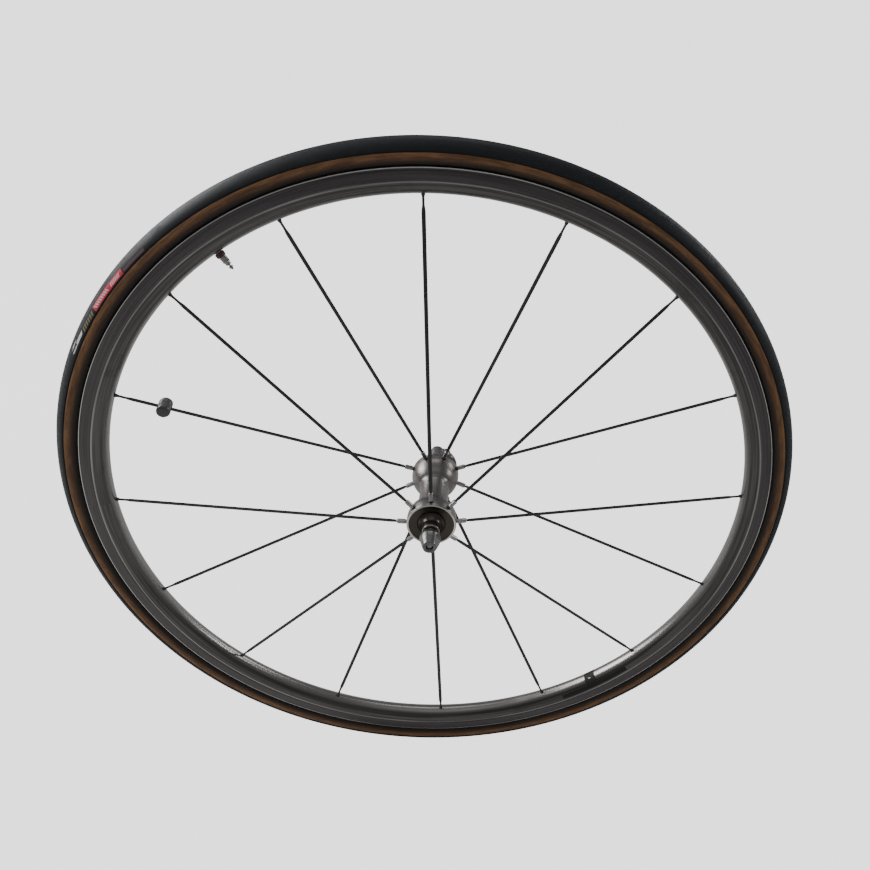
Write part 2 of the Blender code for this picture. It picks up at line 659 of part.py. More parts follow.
def make_nut(skewer):
    floor = CLAMP_FACE + SPRING_RECESS_DEPTH
    nut = [
        (ROD_HOLE, floor),
        (SPRING_RECESS_RADIUS, floor),
        (SPRING_RECESS_RADIUS, CLAMP_FACE),
        (CLAMP_RADIUS, CLAMP_FACE),
        (CLAMP_RADIUS, CLAMP_FACE + NUT_SKIRT),
        (NUT_TIP_RADIUS, NUT_END - NUT_TIP_ROUND),
        (NUT_TIP_RADIUS - NUT_TIP_ROUND, NUT_END),
        (ROD_HOLE, NUT_END),
    ]
    piece = turned("adjusting_nut", facing(-1, nut), HUB_SIDES, SATIN_ALLOY, skewer)
    bm = bmesh.new()
    start, end = -(CLAMP_FACE + NUT_FLAT_START), -(NUT_END + NUT_SKIRT)
    for side in (-1, 1):
        near, far = side * NUT_FLAT, side * 2 * CLAMP_RADIUS
        box(
            bm,
            (min(near, far), end, -2 * CLAMP_RADIUS),
            (max(near, far), start, 2 * CLAMP_RADIUS),
        )
    bmesh.ops.rotate(bm, matrix=Matrix.Rotation(NUT_TURN, 3, "Y"), verts=bm.verts)
    combine(piece, helper(as_object("finger_flats", bm, None)), "DIFFERENCE")


def stadium(half_width, half_height, across):
    """A loop with round ends up and down, in the plane at this place along X."""
    straight = half_height - half_width
    loop = []
    for k in range(SMALL_SIDES):
        angle = TURN * (k + 0.5) / SMALL_SIDES
        lift = straight if math.sin(angle) > 0 else -straight
        loop.append(
            Vector((across, half_width * math.cos(angle), half_width * math.sin(angle) + lift))
        )
    return loop


def make_rod(skewer):
    start = -(NUT_END - ROD_SHORT_OF_NUT)
    slot_height = SLOT_HALF_WIDTH + CAM_THROW
    eye_width, eye_height = SLOT_HALF_WIDTH + EYE_WALL, slot_height + EYE_WALL
    eye_line = CAM_LINE + CAM_THROW
    outline = [(0.0, start), (ROD_RADIUS, start)]
    end = eye_line - SLOT_HALF_WIDTH - EYE_WALL / 2
    outline += [(ROD_RADIUS, end), (0.0, end)]
    rod = turned("skewer_rod", outline, SMALL_SIDES, PLATED_STEEL, skewer)
    half = CAM_HALF_WIDTH - SEAT
    loops = [
        stadium(eye_width, eye_height, -half),
        stadium(eye_width, eye_height, half),
        stadium(SLOT_HALF_WIDTH, slot_height, half),
        stadium(SLOT_HALF_WIDTH, slot_height, -half),
    ]
    eye = as_object("rod_eye", skin_loops(bmesh.new(), loops, True), None)
    eye.location = (0, eye_line, 0)
    combine(rod, helper(eye), "UNION")


def across_pin(sections, sides):
    """A stepped pin along X, made of (across, radius, shift along Y) sections."""
    loops = []
    for across, radius, shift in sections:
        angles = [TURN * k / sides for k in range(sides)]
        loops.append(
            [Vector((across, shift + radius * math.cos(a), radius * math.sin(a))) for a in angles]
        )
    return skin_loops(bmesh.new(), loops, False)


def make_housing(skewer):
    floor = CLAMP_FACE + SPRING_RECESS_DEPTH
    shoulder = CLAMP_FACE + HOUSING_BASE
    outline = [
        (0.0, CAM_LINE),
        (ROD_HOLE, CAM_LINE),
        (ROD_HOLE, floor),
        (SPRING_RECESS_RADIUS, floor),
        (SPRING_RECESS_RADIUS, CLAMP_FACE),
        (CLAMP_RADIUS, CLAMP_FACE),
        (CLAMP_RADIUS, shoulder),
        (HOUSING_RADIUS, shoulder + CLAMP_RADIUS - HOUSING_RADIUS),
    ]
    dome_start = HOUSING_END - HOUSING_RADIUS
    for k in range(DOME_STEPS):
        angle = math.pi / 2 * k / DOME_STEPS
        rise = HOUSING_RADIUS * math.sin(angle)
        outline.append((HOUSING_RADIUS * math.sqrt(math.cos(angle)), dome_start + rise))
    outline.append((0.0, HOUSING_END))
    housing = turned("lever_housing", outline, HUB_SIDES, SATIN_ALLOY, skewer)
    sections = [(CAM_HALF_WIDTH, BARREL_RADIUS, 0.0), (BARREL_END, BARREL_RADIUS, 0.0)]
    barrel = as_object("barrel", across_pin(sections, HUB_SIDES), None)
    barrel.location = (0, CAM_LINE, 0)
    combine(housing, helper(barrel), "UNION")
    opening = 2 * HOUSING_RADIUS
    sections = [(-CAVITY_END, CAVITY_RADIUS, 0.0), (opening, CAVITY_RADIUS, 0.0)]
    cavity = as_object("cam_cavity", across_pin(sections, HUB_SIDES), None)
    cavity.location = (0, CAM_LINE, 0)
    combine(housing, helper(cavity), "DIFFERENCE")
    hole = PIVOT_TAIL_RADIUS + SEAT
    sections = [(-opening, hole, 0.0), (0.0, hole, 0.0)]
    tail = as_object("tail_hole", across_pin(sections, SMALL_SIDES), None)
    tail.location = (0, CAM_LINE, 0)
    combine(housing, helper(tail), "DIFFERENCE")


def lever_arm():
    """The blade of the lever, from its boss down to its tip, as it lies when closed."""
    boss_line = HOUSING_RADIUS + SEAT + LEVER_BOSS_WIDTH / 2
    loops = []
    for k in range(LEVER_STEPS + 1):
        share = k / LEVER_STEPS
        width = LEVER_ROOT_WIDTH + (LEVER_TIP_WIDTH - LEVER_ROOT_WIDTH) * share
        thickness = LEVER_ROOT_THICKNESS
        thickness += (LEVER_TIP_THICKNESS - LEVER_ROOT_THICKNESS) * math.sqrt(share)
        across = boss_line * math.cos(math.pi / 2 * share)
        across += LEVER_BOW * math.sin(math.pi * share**LEVER_BOW_EARLY)
        outward = LEVER_TIP_TURN_OUT * share**2
        drop = -LEVER_REACH * share
        angles = [TURN * (j + 0.5) / THIN_SIDES for j in range(THIN_SIDES)]
        loops.append(
            [
                Vector((across + width * math.cos(a), outward + thickness * math.sin(a), drop))
                for a in angles
            ]
        )
    return skin_loops(bmesh.new(), loops, False)


def make_lever(skewer):
    """The lever, its pivot and its cam are one forging, which turns about X on the cam line."""
    near = HOUSING_RADIUS + SEAT
    far = near + LEVER_BOSS_WIDTH
    rounded = LEVER_BOSS_RADIUS - LEVER_BOSS_ROUND
    sections = [
        (-(HOUSING_RADIUS + PIVOT_TAIL_PROUD), PIVOT_TAIL_RADIUS, 0.0),
        (-JOURNAL_FAR_END, PIVOT_TAIL_RADIUS, 0.0),
        (-JOURNAL_FAR_END, JOURNAL_RADIUS, 0.0),
        (-CAM_HALF_WIDTH, JOURNAL_RADIUS, 0.0),
        (-CAM_HALF_WIDTH, CAM_RADIUS, CAM_THROW),
        (CAM_HALF_WIDTH, CAM_RADIUS, CAM_THROW),
        (CAM_HALF_WIDTH, JOURNAL_RADIUS, 0.0),
        (near, JOURNAL_RADIUS, 0.0),
        (near, rounded, 0.0),
        (near + LEVER_BOSS_ROUND, LEVER_BOSS_RADIUS, 0.0),
        (far - LEVER_BOSS_ROUND, LEVER_BOSS_RADIUS, 0.0),
        (far, rounded, 0.0),
    ]
    lever = as_object("cam_lever", across_pin(sections, SMALL_SIDES), POLISHED_ALLOY, skewer)
    lever.location = (0, CAM_LINE, 0)
    arm = helper(as_object("lever_arm", lever_arm(), None))
    arm.location = lever.location
    combine(lever, arm, "UNION")


def make_valve(wheel):
    """The valve points from the tube to the axle. Places along it are distances from the axle."""
    bed = VALVE_SEAT
    foot = (TUBE_BOTTOM + TUBE_WALL) + SEAT
    stem = [
        (VALVE_BORE, foot + VALVE_FOOT_HEIGHT),
        (VALVE_FOOT_RADIUS, foot + VALVE_FOOT_HEIGHT),
        (VALVE_FOOT_RADIUS, foot),
        (VALVE_RADIUS, foot),
        (VALVE_RADIUS, bed - VALVE_STEM_OUT),
        (VALVE_CORE_RADIUS, bed - VALVE_STEM_OUT - VALVE_CORE_RADIUS / 2),
        (VALVE_CORE_RADIUS, bed - VALVE_CORE_OUT),
        (VALVE_BORE, bed - VALVE_CORE_OUT),
    ]
    frame = valve_frame()
    put(turned("valve_stem", stem, SMALL_SIDES, PLATED_STEEL, wheel), frame)
    top = bed - SEAT
    ring = [
        (VALVE_HOLE, top),
        (LOCK_RING_RADIUS, top),
        (LOCK_RING_RADIUS, top - LOCK_RING_HEIGHT),
        (VALVE_HOLE, top - LOCK_RING_HEIGHT),
    ]
    put(turned("valve_lock_ring", ring, SMALL_SIDES, BROWN_PLASTIC, wheel), frame)
    tip = bed - VALVE_STANDS_OUT
    pin_end = tip + VALVE_PIN_RADIUS
    nut_end = pin_end + VALVE_TIP_LENGTH
    pin = [
        (0.0, bed - VALVE_CORE_OUT + VALVE_PIN_IN),
        (VALVE_PIN_RADIUS, bed - VALVE_CORE_OUT + VALVE_PIN_IN),
        (VALVE_PIN_RADIUS, nut_end),
        (VALVE_TIP_RADIUS, nut_end),
        (VALVE_TIP_RADIUS, (pin_end + nut_end) / 2),
        (VALVE_PIN_RADIUS, pin_end),
        (VALVE_PIN_RADIUS / 2, tip),
        (0.0, tip),
    ]
    piece = turned("valve_tip", pin, THIN_SIDES, POLISHED_ALLOY, wheel)
    put(piece, frame)


def make_magnet(wheel):
    """A round cap and its screw, which clamp a spoke between them."""
    frame = spoke_frame(spoke_angle(MAGNET_SPOKE), spoke_side(MAGNET_SPOKE))
    turned_up = Matrix.Rotation(math.pi / 2, 4, "X")
    place = frame @ Matrix.Translation((0, down_spoke(MAGNET_PLACE), 0)) @ turned_up
    middle = MAGNET_HALF_LENGTH - MAGNET_ROUND
    rounded = MAGNET_RADIUS - MAGNET_ROUND
    screw_hole = MAGNET_SCREW_RADIUS + SEAT
    hole_floor = MAGNET_SCREW_INNER_END - SEAT
    ease = MAGNET_ROUND * (1 - math.cos(math.pi / 4))
    body = [
        (0.0, -MAGNET_HALF_LENGTH),
        (rounded, -MAGNET_HALF_LENGTH),
        (MAGNET_RADIUS - ease, -MAGNET_HALF_LENGTH + ease),
        (MAGNET_RADIUS, -middle),
        (MAGNET_RADIUS, middle),
        (MAGNET_RADIUS - ease, MAGNET_HALF_LENGTH - ease),
        (max(rounded, screw_hole + SEAT), MAGNET_HALF_LENGTH),
        (screw_hole, MAGNET_HALF_LENGTH),
        (screw_hole, hole_floor),
        (0.0, hole_floor),
    ]
    cap = turned("spoke_magnet", body, SMALL_SIDES, GREY_PLASTIC, wheel)
    put(cap, place)
    bm = bmesh.new()
    half = Vector((BLADE_HALF_WIDTH + SEAT, BLADE_HALF_THICKNESS + SEAT, 2 * MAGNET_RADIUS))
    box(bm, -half, half)
    slot = helper(as_object("magnet_slot", bm, None))
    put(slot, place)
    combine(cap, slot, "DIFFERENCE")
    screw = [
        (0.0, MAGNET_SCREW_INNER_END),
        (MAGNET_SCREW_RADIUS, MAGNET_SCREW_INNER_END),
        (MAGNET_SCREW_RADIUS, MAGNET_HALF_LENGTH - SEAT),
        (0.0, MAGNET_HALF_LENGTH - SEAT),
    ]
    put(turned("magnet_screw", screw, SMALL_SIDES, PLATED_STEEL, wheel), place)


def main():
    clear_scene()
    wheel = holder("wheel_centre")
    skewer = holder("skewer_centre")
    make_rim(wheel)
    make_tyre(wheel)
    make_tube(wheel)
    make_tape(wheel)
    make_spokes(wheel)
    make_hub_shell(wheel)
    for side, label in ((-1, "nut_side"), (1, "lever_side")):
        make_bearing(side, label, wheel)
    make_axle()
    make_rod(skewer)
    make_nut(skewer)
    make_spring("nut_spring", -1, skewer)
    make_housing(skewer)
    make_spring("lever_spring", 1, skewer)
    make_lever(skewer)
    make_valve(wheel)
    make_magnet(wheel)
    bpy.context.view_layer.update()


main()
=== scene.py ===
"""The finished looks of a road bicycle's front wheel and its quick-release skewer.

The axle lies along Y, +Z is up and the origin is the centre of the wheel. Outlines of turned pieces
are lists of (radius, along the axle), and all sizes are in millimetres until a mesh is made.
"""

import math

import bmesh
import bpy
from mathutils import Matrix, Vector


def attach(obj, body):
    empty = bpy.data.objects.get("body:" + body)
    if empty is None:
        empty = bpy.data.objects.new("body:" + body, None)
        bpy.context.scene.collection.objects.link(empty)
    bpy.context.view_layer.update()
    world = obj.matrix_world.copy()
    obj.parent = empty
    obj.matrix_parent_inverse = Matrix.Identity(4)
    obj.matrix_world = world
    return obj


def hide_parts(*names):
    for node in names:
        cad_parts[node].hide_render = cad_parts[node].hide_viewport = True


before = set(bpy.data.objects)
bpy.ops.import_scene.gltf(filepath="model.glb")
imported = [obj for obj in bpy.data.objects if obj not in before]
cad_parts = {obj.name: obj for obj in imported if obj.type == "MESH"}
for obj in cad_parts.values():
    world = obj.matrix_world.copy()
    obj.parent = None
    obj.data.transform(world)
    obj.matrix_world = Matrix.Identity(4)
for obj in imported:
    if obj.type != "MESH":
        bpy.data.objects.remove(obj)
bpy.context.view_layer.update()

MM = 0.001
TURN = 2 * math.pi
ANY_CREASE = math.radians(38)

# Rim and tyre
RIM_EDGE = 316.5
BED = 293.6
TRACK_FOOT = 306.5
RIDGE_FOOT = 304.2
FACE_POWER = 1.9  # two is a plain ellipse
TYRE_CENTRE = 325.3
TYRE_SECTION = 12.1
CASING_CENTRE = 323.9
RING_SIDES = 288

# Spokes and hub
SPOKES = 16
FLANGE_REACH = 37.6
TILT = math.atan2(FLANGE_REACH, BED)
BULB_RADIUS = 22.5
BULB_CENTRE = 33.3
WAIST_RADIUS = 13.6
HUB_SIDES = 96

# Skewer
CLAMP_FACE = 56.3
CLAMP_RADIUS = 9.2
RECESS_RADIUS = 6.8
RECESS_FLOOR = 59.3
ROD_HOLE = 2.8
THREAD_PITCH = 0.8
CAM_LINE = 70.3
HOUSING_RADIUS = 7.2
HOUSING_END = 79.4
FLATS_TURN = math.radians(22.5)

VALVE_ANGLE = math.radians(123.75)
VALVE_FOOT = 293.2
MAGNET_SPOKE = 7
MAGNET_PLACE = 253.0


# ---------------------------------------------------------------- materials


class Patch:
    """A short hand for adding nodes to one node tree."""

    def __init__(self, tree):
        self.tree = tree

    def add(self, kind, *inputs, **settings):
        node = self.tree.nodes.new(kind)
        for name, value in settings.items():
            setattr(node, name, value)
        for socket, value in zip(node.inputs, inputs):
            self.feed(socket, value)
        return node

    def feed(self, socket, value):
        if isinstance(value, bpy.types.NodeSocket):
            self.tree.links.new(value, socket)
        elif value is not None:
            socket.default_value = value

    def sum(self, operation, *inputs, clamp=False):
        return self.add("ShaderNodeMath", *inputs, operation=operation, use_clamp=clamp).outputs[0]

    def noise(self, place, scale, detail=3.0, roughness=0.55):
        node = self.add("ShaderNodeTexNoise")
        self.feed(node.inputs["Vector"], place)
        self.feed(node.inputs["Scale"], scale)
        node.inputs["Detail"].default_value = detail
        node.inputs["Roughness"].default_value = roughness
        return node.outputs["Fac"]

    def joined(self, *values):
        """A place made of three values."""
        return self.add("ShaderNodeCombineXYZ", *values).outputs[0]

    def stretched(self, place, shares):
        """A place with each of its directions drawn out or pressed together."""
        return self.add("ShaderNodeVectorMath", place, shares, operation="MULTIPLY").outputs[0]

    def step(self, value, low, high, out_low=0.0, out_high=1.0):
        """A soft change from one value to another as the given value goes from low to high."""
        node = self.add("ShaderNodeMapRange", interpolation_type="SMOOTHSTEP")
        labels = ("Value", "From Min", "From Max", "To Min", "To Max")
        for name, given in zip(labels, (value, low, high, out_low, out_high)):
            self.feed(node.inputs[name], given)
        return node.outputs[0]

    def blend(self, share, first, second):
        node = self.add("ShaderNodeMix", data_type="RGBA")
        self.feed(node.inputs["Factor"], share)
        self.feed(node.inputs["A"], first)
        self.feed(node.inputs["B"], second)
        return node.outputs["Result"]

    def use(self, group, **values):
        node = self.add("ShaderNodeGroup", node_tree=group)
        for name, value in values.items():
            self.feed(node.inputs[name.replace("_", " ")], value)
        return node.outputs


def new_group(name, inputs, outputs):
    """An empty node group with number inputs {name: default} and the outputs named."""
    tree = bpy.data.node_groups.new(name, "ShaderNodeTree")
    for label, default in inputs.items():
        socket = tree.interface.new_socket(label, in_out="INPUT", socket_type="NodeSocketFloat")
        socket.default_value = default
    for label in outputs:
        tree.interface.new_socket(label, in_out="OUTPUT", socket_type="NodeSocketFloat")
    patch = Patch(tree)
    given = patch.add("NodeGroupInput").outputs
    result = patch.add("NodeGroupOutput").inputs
    return tree, patch, given, result


def ring_places():
    """Where a point is on the wheel: how far round, how far from the axle and how far along it."""
    tree, patch, given, result = new_group("ring_places", {"Reach": 300.0}, ["Around", "Radius", "Across"])
    spot = patch.add("ShaderNodeTexCoord").outputs["Object"]
    place = patch.add("ShaderNodeSeparateXYZ", spot).outputs
    square = patch.sum(
        "ADD", patch.sum("MULTIPLY", place[0], place[0]), patch.sum("MULTIPLY", place[2], place[2])
    )
    radius = patch.sum("MULTIPLY", patch.sum("SQRT", square), 1000.0)
    angle = patch.sum("ARCTAN2", place[2], place[0])
    patch.feed(result["Around"], patch.sum("MULTIPLY", angle, given["Reach"]))
    patch.feed(result["Radius"], radius)
    patch.feed(result["Across"], patch.sum("MULTIPLY", place[1], 1000.0))
    return tree


def turning_marks(places):
    """Fine lines left all round by the lathe."""
    tree, patch, given, result = new_group("turning_marks", {"Fineness": 4.0}, ["Lines"])
    here = patch.use(places, Reach=12.0)
    across = patch.joined(here["Around"], here["Radius"], here["Across"])
    stretched = patch.stretched(across, (0.02, 1.0, 1.0))
    patch.feed(result["Lines"], patch.noise(stretched, given["Fineness"], 2.0, 0.7))
    return tree


def handling_wear():
    """Patches of dust and small scuffs. Spots are a few millimetres across, scuffs are thin."""
    tree, patch, given, result = new_group("handling_wear", {"Size": 60.0, "Amount": 0.5}, ["Dust", "Scuffs"])
    place = patch.add("ShaderNodeTexCoord").outputs["Object"]
    cloud = patch.noise(place, given["Size"], 5.0, 0.6)
    edge = patch.sum("SUBTRACT", 0.72, patch.sum("MULTIPLY", given["Amount"], 0.3))
    patch.feed(result["Dust"], patch.step(cloud, edge, patch.sum("ADD", edge, 0.2)))
    drawn = patch.stretched(place, (1.0, 0.25, 2.2))
    lines = patch.noise(drawn, patch.sum("MULTIPLY", given["Size"], 9.0), 2.0, 0.8)
    patch.feed(
        result["Scuffs"], patch.step(lines, patch.sum("ADD", edge, 0.05), patch.sum("ADD", edge, 0.12))
    )
    return tree


def crossed_threads(places):
    """Cotton threads laid both ways across a tyre's wall at a slant, and the rubber between them."""
    tree, patch, given, result = new_group(
        "crossed_threads", {"Spacing": 0.7, "Slant": 1.0}, ["Threads", "Shade"]
    )
    here = patch.use(places, Reach=320.0)
    waves = []
    for way in (-1.0, 1.0):
        slant = patch.sum("MULTIPLY", patch.sum("MULTIPLY", here["Radius"], given["Slant"]), way)
        run = patch.sum("DIVIDE", patch.sum("ADD", here["Around"], slant), given["Spacing"])
        wave = patch.sum("SINE", patch.sum("MULTIPLY", run, TURN))
        waves.append(patch.step(wave, -0.4, 0.9))
    patch.feed(
        result["Threads"],
        patch.sum("ADD", patch.sum("MULTIPLY", waves[0], 0.65), patch.sum("MULTIPLY", waves[1], 0.35))
    )
    place = patch.joined(here["Around"], here["Radius"], here["Across"])
    long_streaks = patch.stretched(place, (0.06, 0.5, 0.5))
    patch.feed(result["Shade"], patch.noise(long_streaks, 0.8, 4.0, 0.6))
    return tree


PLACES = ring_places()
MARKS = turning_marks(PLACES)
WEAR = handling_wear()
THREADS = crossed_threads(PLACES)


class Finish:
    """A material under construction: its shader, and the slot of the record that it belongs to."""

    def __init__(self, name, slot, metallic, roughness, **shader_values):
        self.material = bpy.data.materials.new(name)
        self.material.use_nodes = True
        self.material["slot"] = slot
        self.patch = Patch(self.material.node_tree)
        self.shader = self.material.node_tree.nodes["Principled BSDF"].inputs
        self.shader["Metallic"].default_value = metallic
        self.shader["Roughness"].default_value = roughness
        for label, value in shader_values.items():
            self.shader[label.replace("_", " ")].default_value = value

    def feed(self, label, value):
        self.patch.feed(self.shader[label], value)

    def bump(self, height, depth):
        bump = self.patch.add("ShaderNodeBump")
        bump.inputs["Strength"].default_value = 1.0
        bump.inputs["Distance"].default_value = depth * MM
        self.patch.feed(bump.inputs["Height"], height)
        self.feed("Normal", bump.outputs["Normal"])


def turned_metal(
    name, slot, colour, worn, roughness, fineness=4.0, depth=0.01, dust=0.4, size=120.0,
    metallic=1.0, **values
):
    """Metal from the lathe: turning marks, darker dust in patches and brighter thin scuffs."""
    finish = Finish(name, slot, metallic, roughness, **values)
    patch = finish.patch
    lines = patch.use(MARKS, Fineness=fineness)["Lines"]
    wear = patch.use(WEAR, Size=size, Amount=dust)
    base = patch.blend(patch.sum("MULTIPLY", lines, 0.35), (*colour, 1), (*[c * 0.6 for c in colour], 1))
    dusty = patch.blend(
        patch.sum("MULTIPLY", wear["Dust"], 0.5), base, (*[c * 0.55 + 0.01 for c in colour], 1)
    )
    finish.feed("Base Color", patch.blend(patch.sum("MULTIPLY", wear["Scuffs"], 0.5), dusty, (*worn, 1)))
    rough = patch.sum("ADD", roughness - 0.05, patch.sum("MULTIPLY", lines, 0.14))
    finish.feed("Roughness", patch.sum("ADD", rough, patch.sum("MULTIPLY", wear["Dust"], 0.16)))
    finish.bump(lines, depth)
    return finish.material


def moulded(
    name, slot, colour, roughness, grain=900.0, depth=0.03, dust=0.5,
    dust_colour=(0.1, 0.095, 0.085), size=70.0, **values
):
    """Moulded rubber or plastic: a fine grain, and dust in patches."""
    finish = Finish(name, slot, 0.0, roughness, **values)
    patch = finish.patch
    place = patch.add("ShaderNodeTexCoord").outputs["Object"]
    fine = patch.noise(place, grain, 3.0)
    wear = patch.use(WEAR, Size=size, Amount=dust)
    base = patch.blend(fine, (*[c * 0.7 for c in colour], 1), (*[c * 1.3 for c in colour], 1))
    finish.feed("Base Color", patch.blend(patch.sum("MULTIPLY", wear["Dust"], 0.22), base, (*dust_colour, 1)))
    finish.feed("Roughness", patch.sum("ADD", roughness, patch.sum("MULTIPLY", wear["Dust"], 0.15)))
    finish.bump(fine, depth)
    return finish.material


def rim_finish():
    """Dark anodised alloy. The pads have worn the brake tracks into fine bright rings. A painted highlight
    lies along the outer edge and the ridge, and the spoke bed has a lighter base colour as a painted
    reflection.
    """
    finish = Finish("anodised_rim", "rim_alloy", 1.0, 0.36)
    patch = finish.patch
    here = patch.use(PLACES, Reach=300.0)
    lines = patch.use(MARKS, Fineness=6.0)["Lines"]
    wear = patch.use(WEAR, Size=26.0, Amount=0.55)
    over_foot = patch.step(here["Radius"], TRACK_FOOT - 0.3, TRACK_FOOT + 0.3)
    under_edge = patch.step(here["Radius"], RIM_EDGE - 1.0, RIM_EDGE - 0.7, 1.0, 0.0)
    track = patch.sum("MULTIPLY", over_foot, under_edge)
    rings = patch.step(lines, 0.35, 0.72)
    long_place = patch.joined(here["Around"], here["Radius"], here["Across"])
    streaks = patch.noise(patch.stretched(long_place, (0.01, 0.6, 0.6)), 1.0, 4.0)
    spread = patch.step(streaks, 0.36, 0.64)
    face = patch.blend(spread, (0.078, 0.072, 0.067, 1), (0.132, 0.127, 0.122, 1))
    face = patch.blend(patch.sum("MULTIPLY", wear["Dust"], 0.6), face, (0.075, 0.066, 0.056, 1))
    worn = patch.blend(rings, (0.055, 0.050, 0.050, 1), (0.150, 0.140, 0.138, 1))
    worn = patch.blend(patch.sum("MULTIPLY", spread, 0.45), worn, (0.150, 0.140, 0.136, 1))
    # Painted highlight: the outer edge and the ridge get a near white base colour for the light that these
    # thin edges catch.
    edge = patch.step(here["Radius"], RIM_EDGE - 1.0, RIM_EDGE - 0.7)
    ridge_highlight_rise = patch.step(here["Radius"], RIDGE_FOOT, 305.2)
    ridge = patch.sum("MULTIPLY", ridge_highlight_rise, patch.step(here["Radius"], 305.6, 306.4, 1.0, 0.0))
    ridge = patch.sum("MULTIPLY", ridge, patch.step(streaks, 0.3, 0.6, 0.15, 0.4))
    # Painted reflection: the spoke bed gets a lighter base colour than the face so that its glints come out
    # brighter.
    bed = patch.blend(spread, (0.23, 0.22, 0.21, 1), (0.29, 0.275, 0.265, 1))
    face = patch.blend(patch.step(here["Radius"], BED + 0.3, BED + 3.6), bed, face)
    colour = patch.blend(track, face, worn)
    # The near white colour here is the painted highlight on the edge and the ridge.
    finish.feed("Base Color", patch.blend(patch.sum("MAXIMUM", edge, ridge), colour, (0.72, 0.70, 0.67, 1)))
    rough = patch.sum("ADD", 0.24, patch.sum("MULTIPLY", streaks, 0.14))
    rough = patch.sum("ADD", rough, patch.sum("MULTIPLY", track, patch.sum("MULTIPLY", rings, 0.1)))
    finish.feed("Roughness", patch.sum("ADD", rough, patch.sum("MULTIPLY", wear["Dust"], 0.12)))
    finish.bump(patch.sum("MULTIPLY", patch.sum("ADD", lines, wear["Scuffs"]), track), 0.02)
    return finish.material


def tread_finish():
    """Slick black rubber with a fine file pattern, a seam along its crown and road dust."""
    finish = Finish("tread_rubber", "tread_rubber", 0.0, 0.42, Specular_IOR_Level=0.22)
    patch = finish.patch
    here = patch.use(PLACES, Reach=330.0)
    file_run = patch.sum(
        "ADD", here["Around"], patch.sum("MULTIPLY", patch.sum("ABSOLUTE", here["Across"]), 1.4)
    )
    file_lines = patch.step(patch.sum("SINE", patch.sum("MULTIPLY", file_run, TURN / 1.3)), 0.2, 0.8)
    shoulder = patch.step(patch.sum("ABSOLUTE", here["Across"]), 4.5, 6.5)
    lines = patch.sum("MULTIPLY", file_lines, shoulder)
    wear = patch.use(WEAR, Size=34.0, Amount=0.6)
    place = patch.joined(here["Around"], here["Radius"], here["Across"])
    scrubbed = patch.noise(patch.stretched(place, (0.05, 1.0, 1.0)), 1.2, 4.0)
    base = patch.blend(scrubbed, (0.011, 0.012, 0.014, 1), (0.022, 0.024, 0.028, 1))
    finish.feed(
        "Base Color", patch.blend(patch.sum("MULTIPLY", wear["Dust"], 0.15), base, (0.075, 0.072, 0.066, 1))
    )
    rough = patch.sum("ADD", 0.42, patch.sum("MULTIPLY", scrubbed, 0.2))
    finish.feed("Roughness", patch.sum("ADD", rough, patch.sum("MULTIPLY", wear["Dust"], 0.2)))
    seam = patch.step(patch.sum("ABSOLUTE", here["Across"]), 0.0, 0.35, 1.0, 0.0)
    finish.bump(
        patch.sum("ADD", seam, patch.sum("SUBTRACT", patch.sum("MULTIPLY", scrubbed, 0.3), lines)), 0.06
    )
    return finish.material


def casing_finish():
    """Tan cotton threads in a thin coat of gum, dark under the tread and towards the rim, where the darkening
    is painted shade.
    """
    finish = Finish("tan_casing", "tan_casing", 0.0, 0.6, Specular_IOR_Level=0.35)
    patch = finish.patch
    here = patch.use(PLACES, Reach=320.0)
    threads = patch.use(THREADS, Spacing=0.9, Slant=0.9)
    wear = patch.use(WEAR, Size=30.0, Amount=0.6)
    gum = patch.blend(
        patch.step(threads["Shade"], 0.3, 0.7), (0.10, 0.045, 0.018, 1), (0.30, 0.150, 0.066, 1)
    )
    wall = patch.blend(patch.sum("MULTIPLY", threads["Threads"], 0.5), gum, (0.30, 0.155, 0.070, 1))
    wall = patch.blend(patch.sum("MULTIPLY", wear["Dust"], 0.5), wall, (0.06, 0.036, 0.020, 1))
    # Painted shade: the wall darkens towards the rim, where it meets the rim.
    wall = patch.blend(
        patch.step(here["Radius"], TYRE_CENTRE - 7.0, TYRE_CENTRE - 0.5), (0.026, 0.015, 0.009, 1), wall
    )
    # Painted shade: a thin dark band where the wall goes under the tread's edge, and a darkening towards the
    # rim.
    tread_edge_shade = patch.step(here["Radius"], TYRE_CENTRE + 2.0, TYRE_CENTRE + 2.6)
    rim_gap_shade = patch.step(here["Radius"], RIM_EDGE - 0.5, TYRE_CENTRE + 1.0, 1.0, 0.0)
    dark = patch.sum("MAXIMUM", tread_edge_shade, patch.sum("MULTIPLY", rim_gap_shade, 0.85))
    finish.feed("Base Color", patch.blend(dark, wall, (0.012, 0.010, 0.009, 1)))
    finish.feed("Roughness", patch.sum("ADD", 0.52, patch.sum("MULTIPLY", threads["Shade"], 0.25)))
    finish.bump(threads["Threads"], 0.07)
    return finish.material


def printed(name, colour, worn_off, roughness=0.5):
    """Ink or a thin foil label, rubbed thin in patches so that the surface below shows."""
    finish = Finish(name, None, 0.0, roughness)
    patch = finish.patch
    wear = patch.use(WEAR, Size=160.0, Amount=0.7)
    fine = patch.noise(patch.add("ShaderNodeTexCoord").outputs["Object"], 1400.0)
    finish.feed(
        "Base Color", patch.blend(patch.sum("MULTIPLY", wear["Dust"], 0.5), (*colour, 1), (*worn_off, 1))
    )
    finish.feed("Roughness", patch.sum("ADD", roughness, patch.sum("MULTIPLY", fine, 0.15)))
    finish.bump(fine, 0.01)
    return finish.material


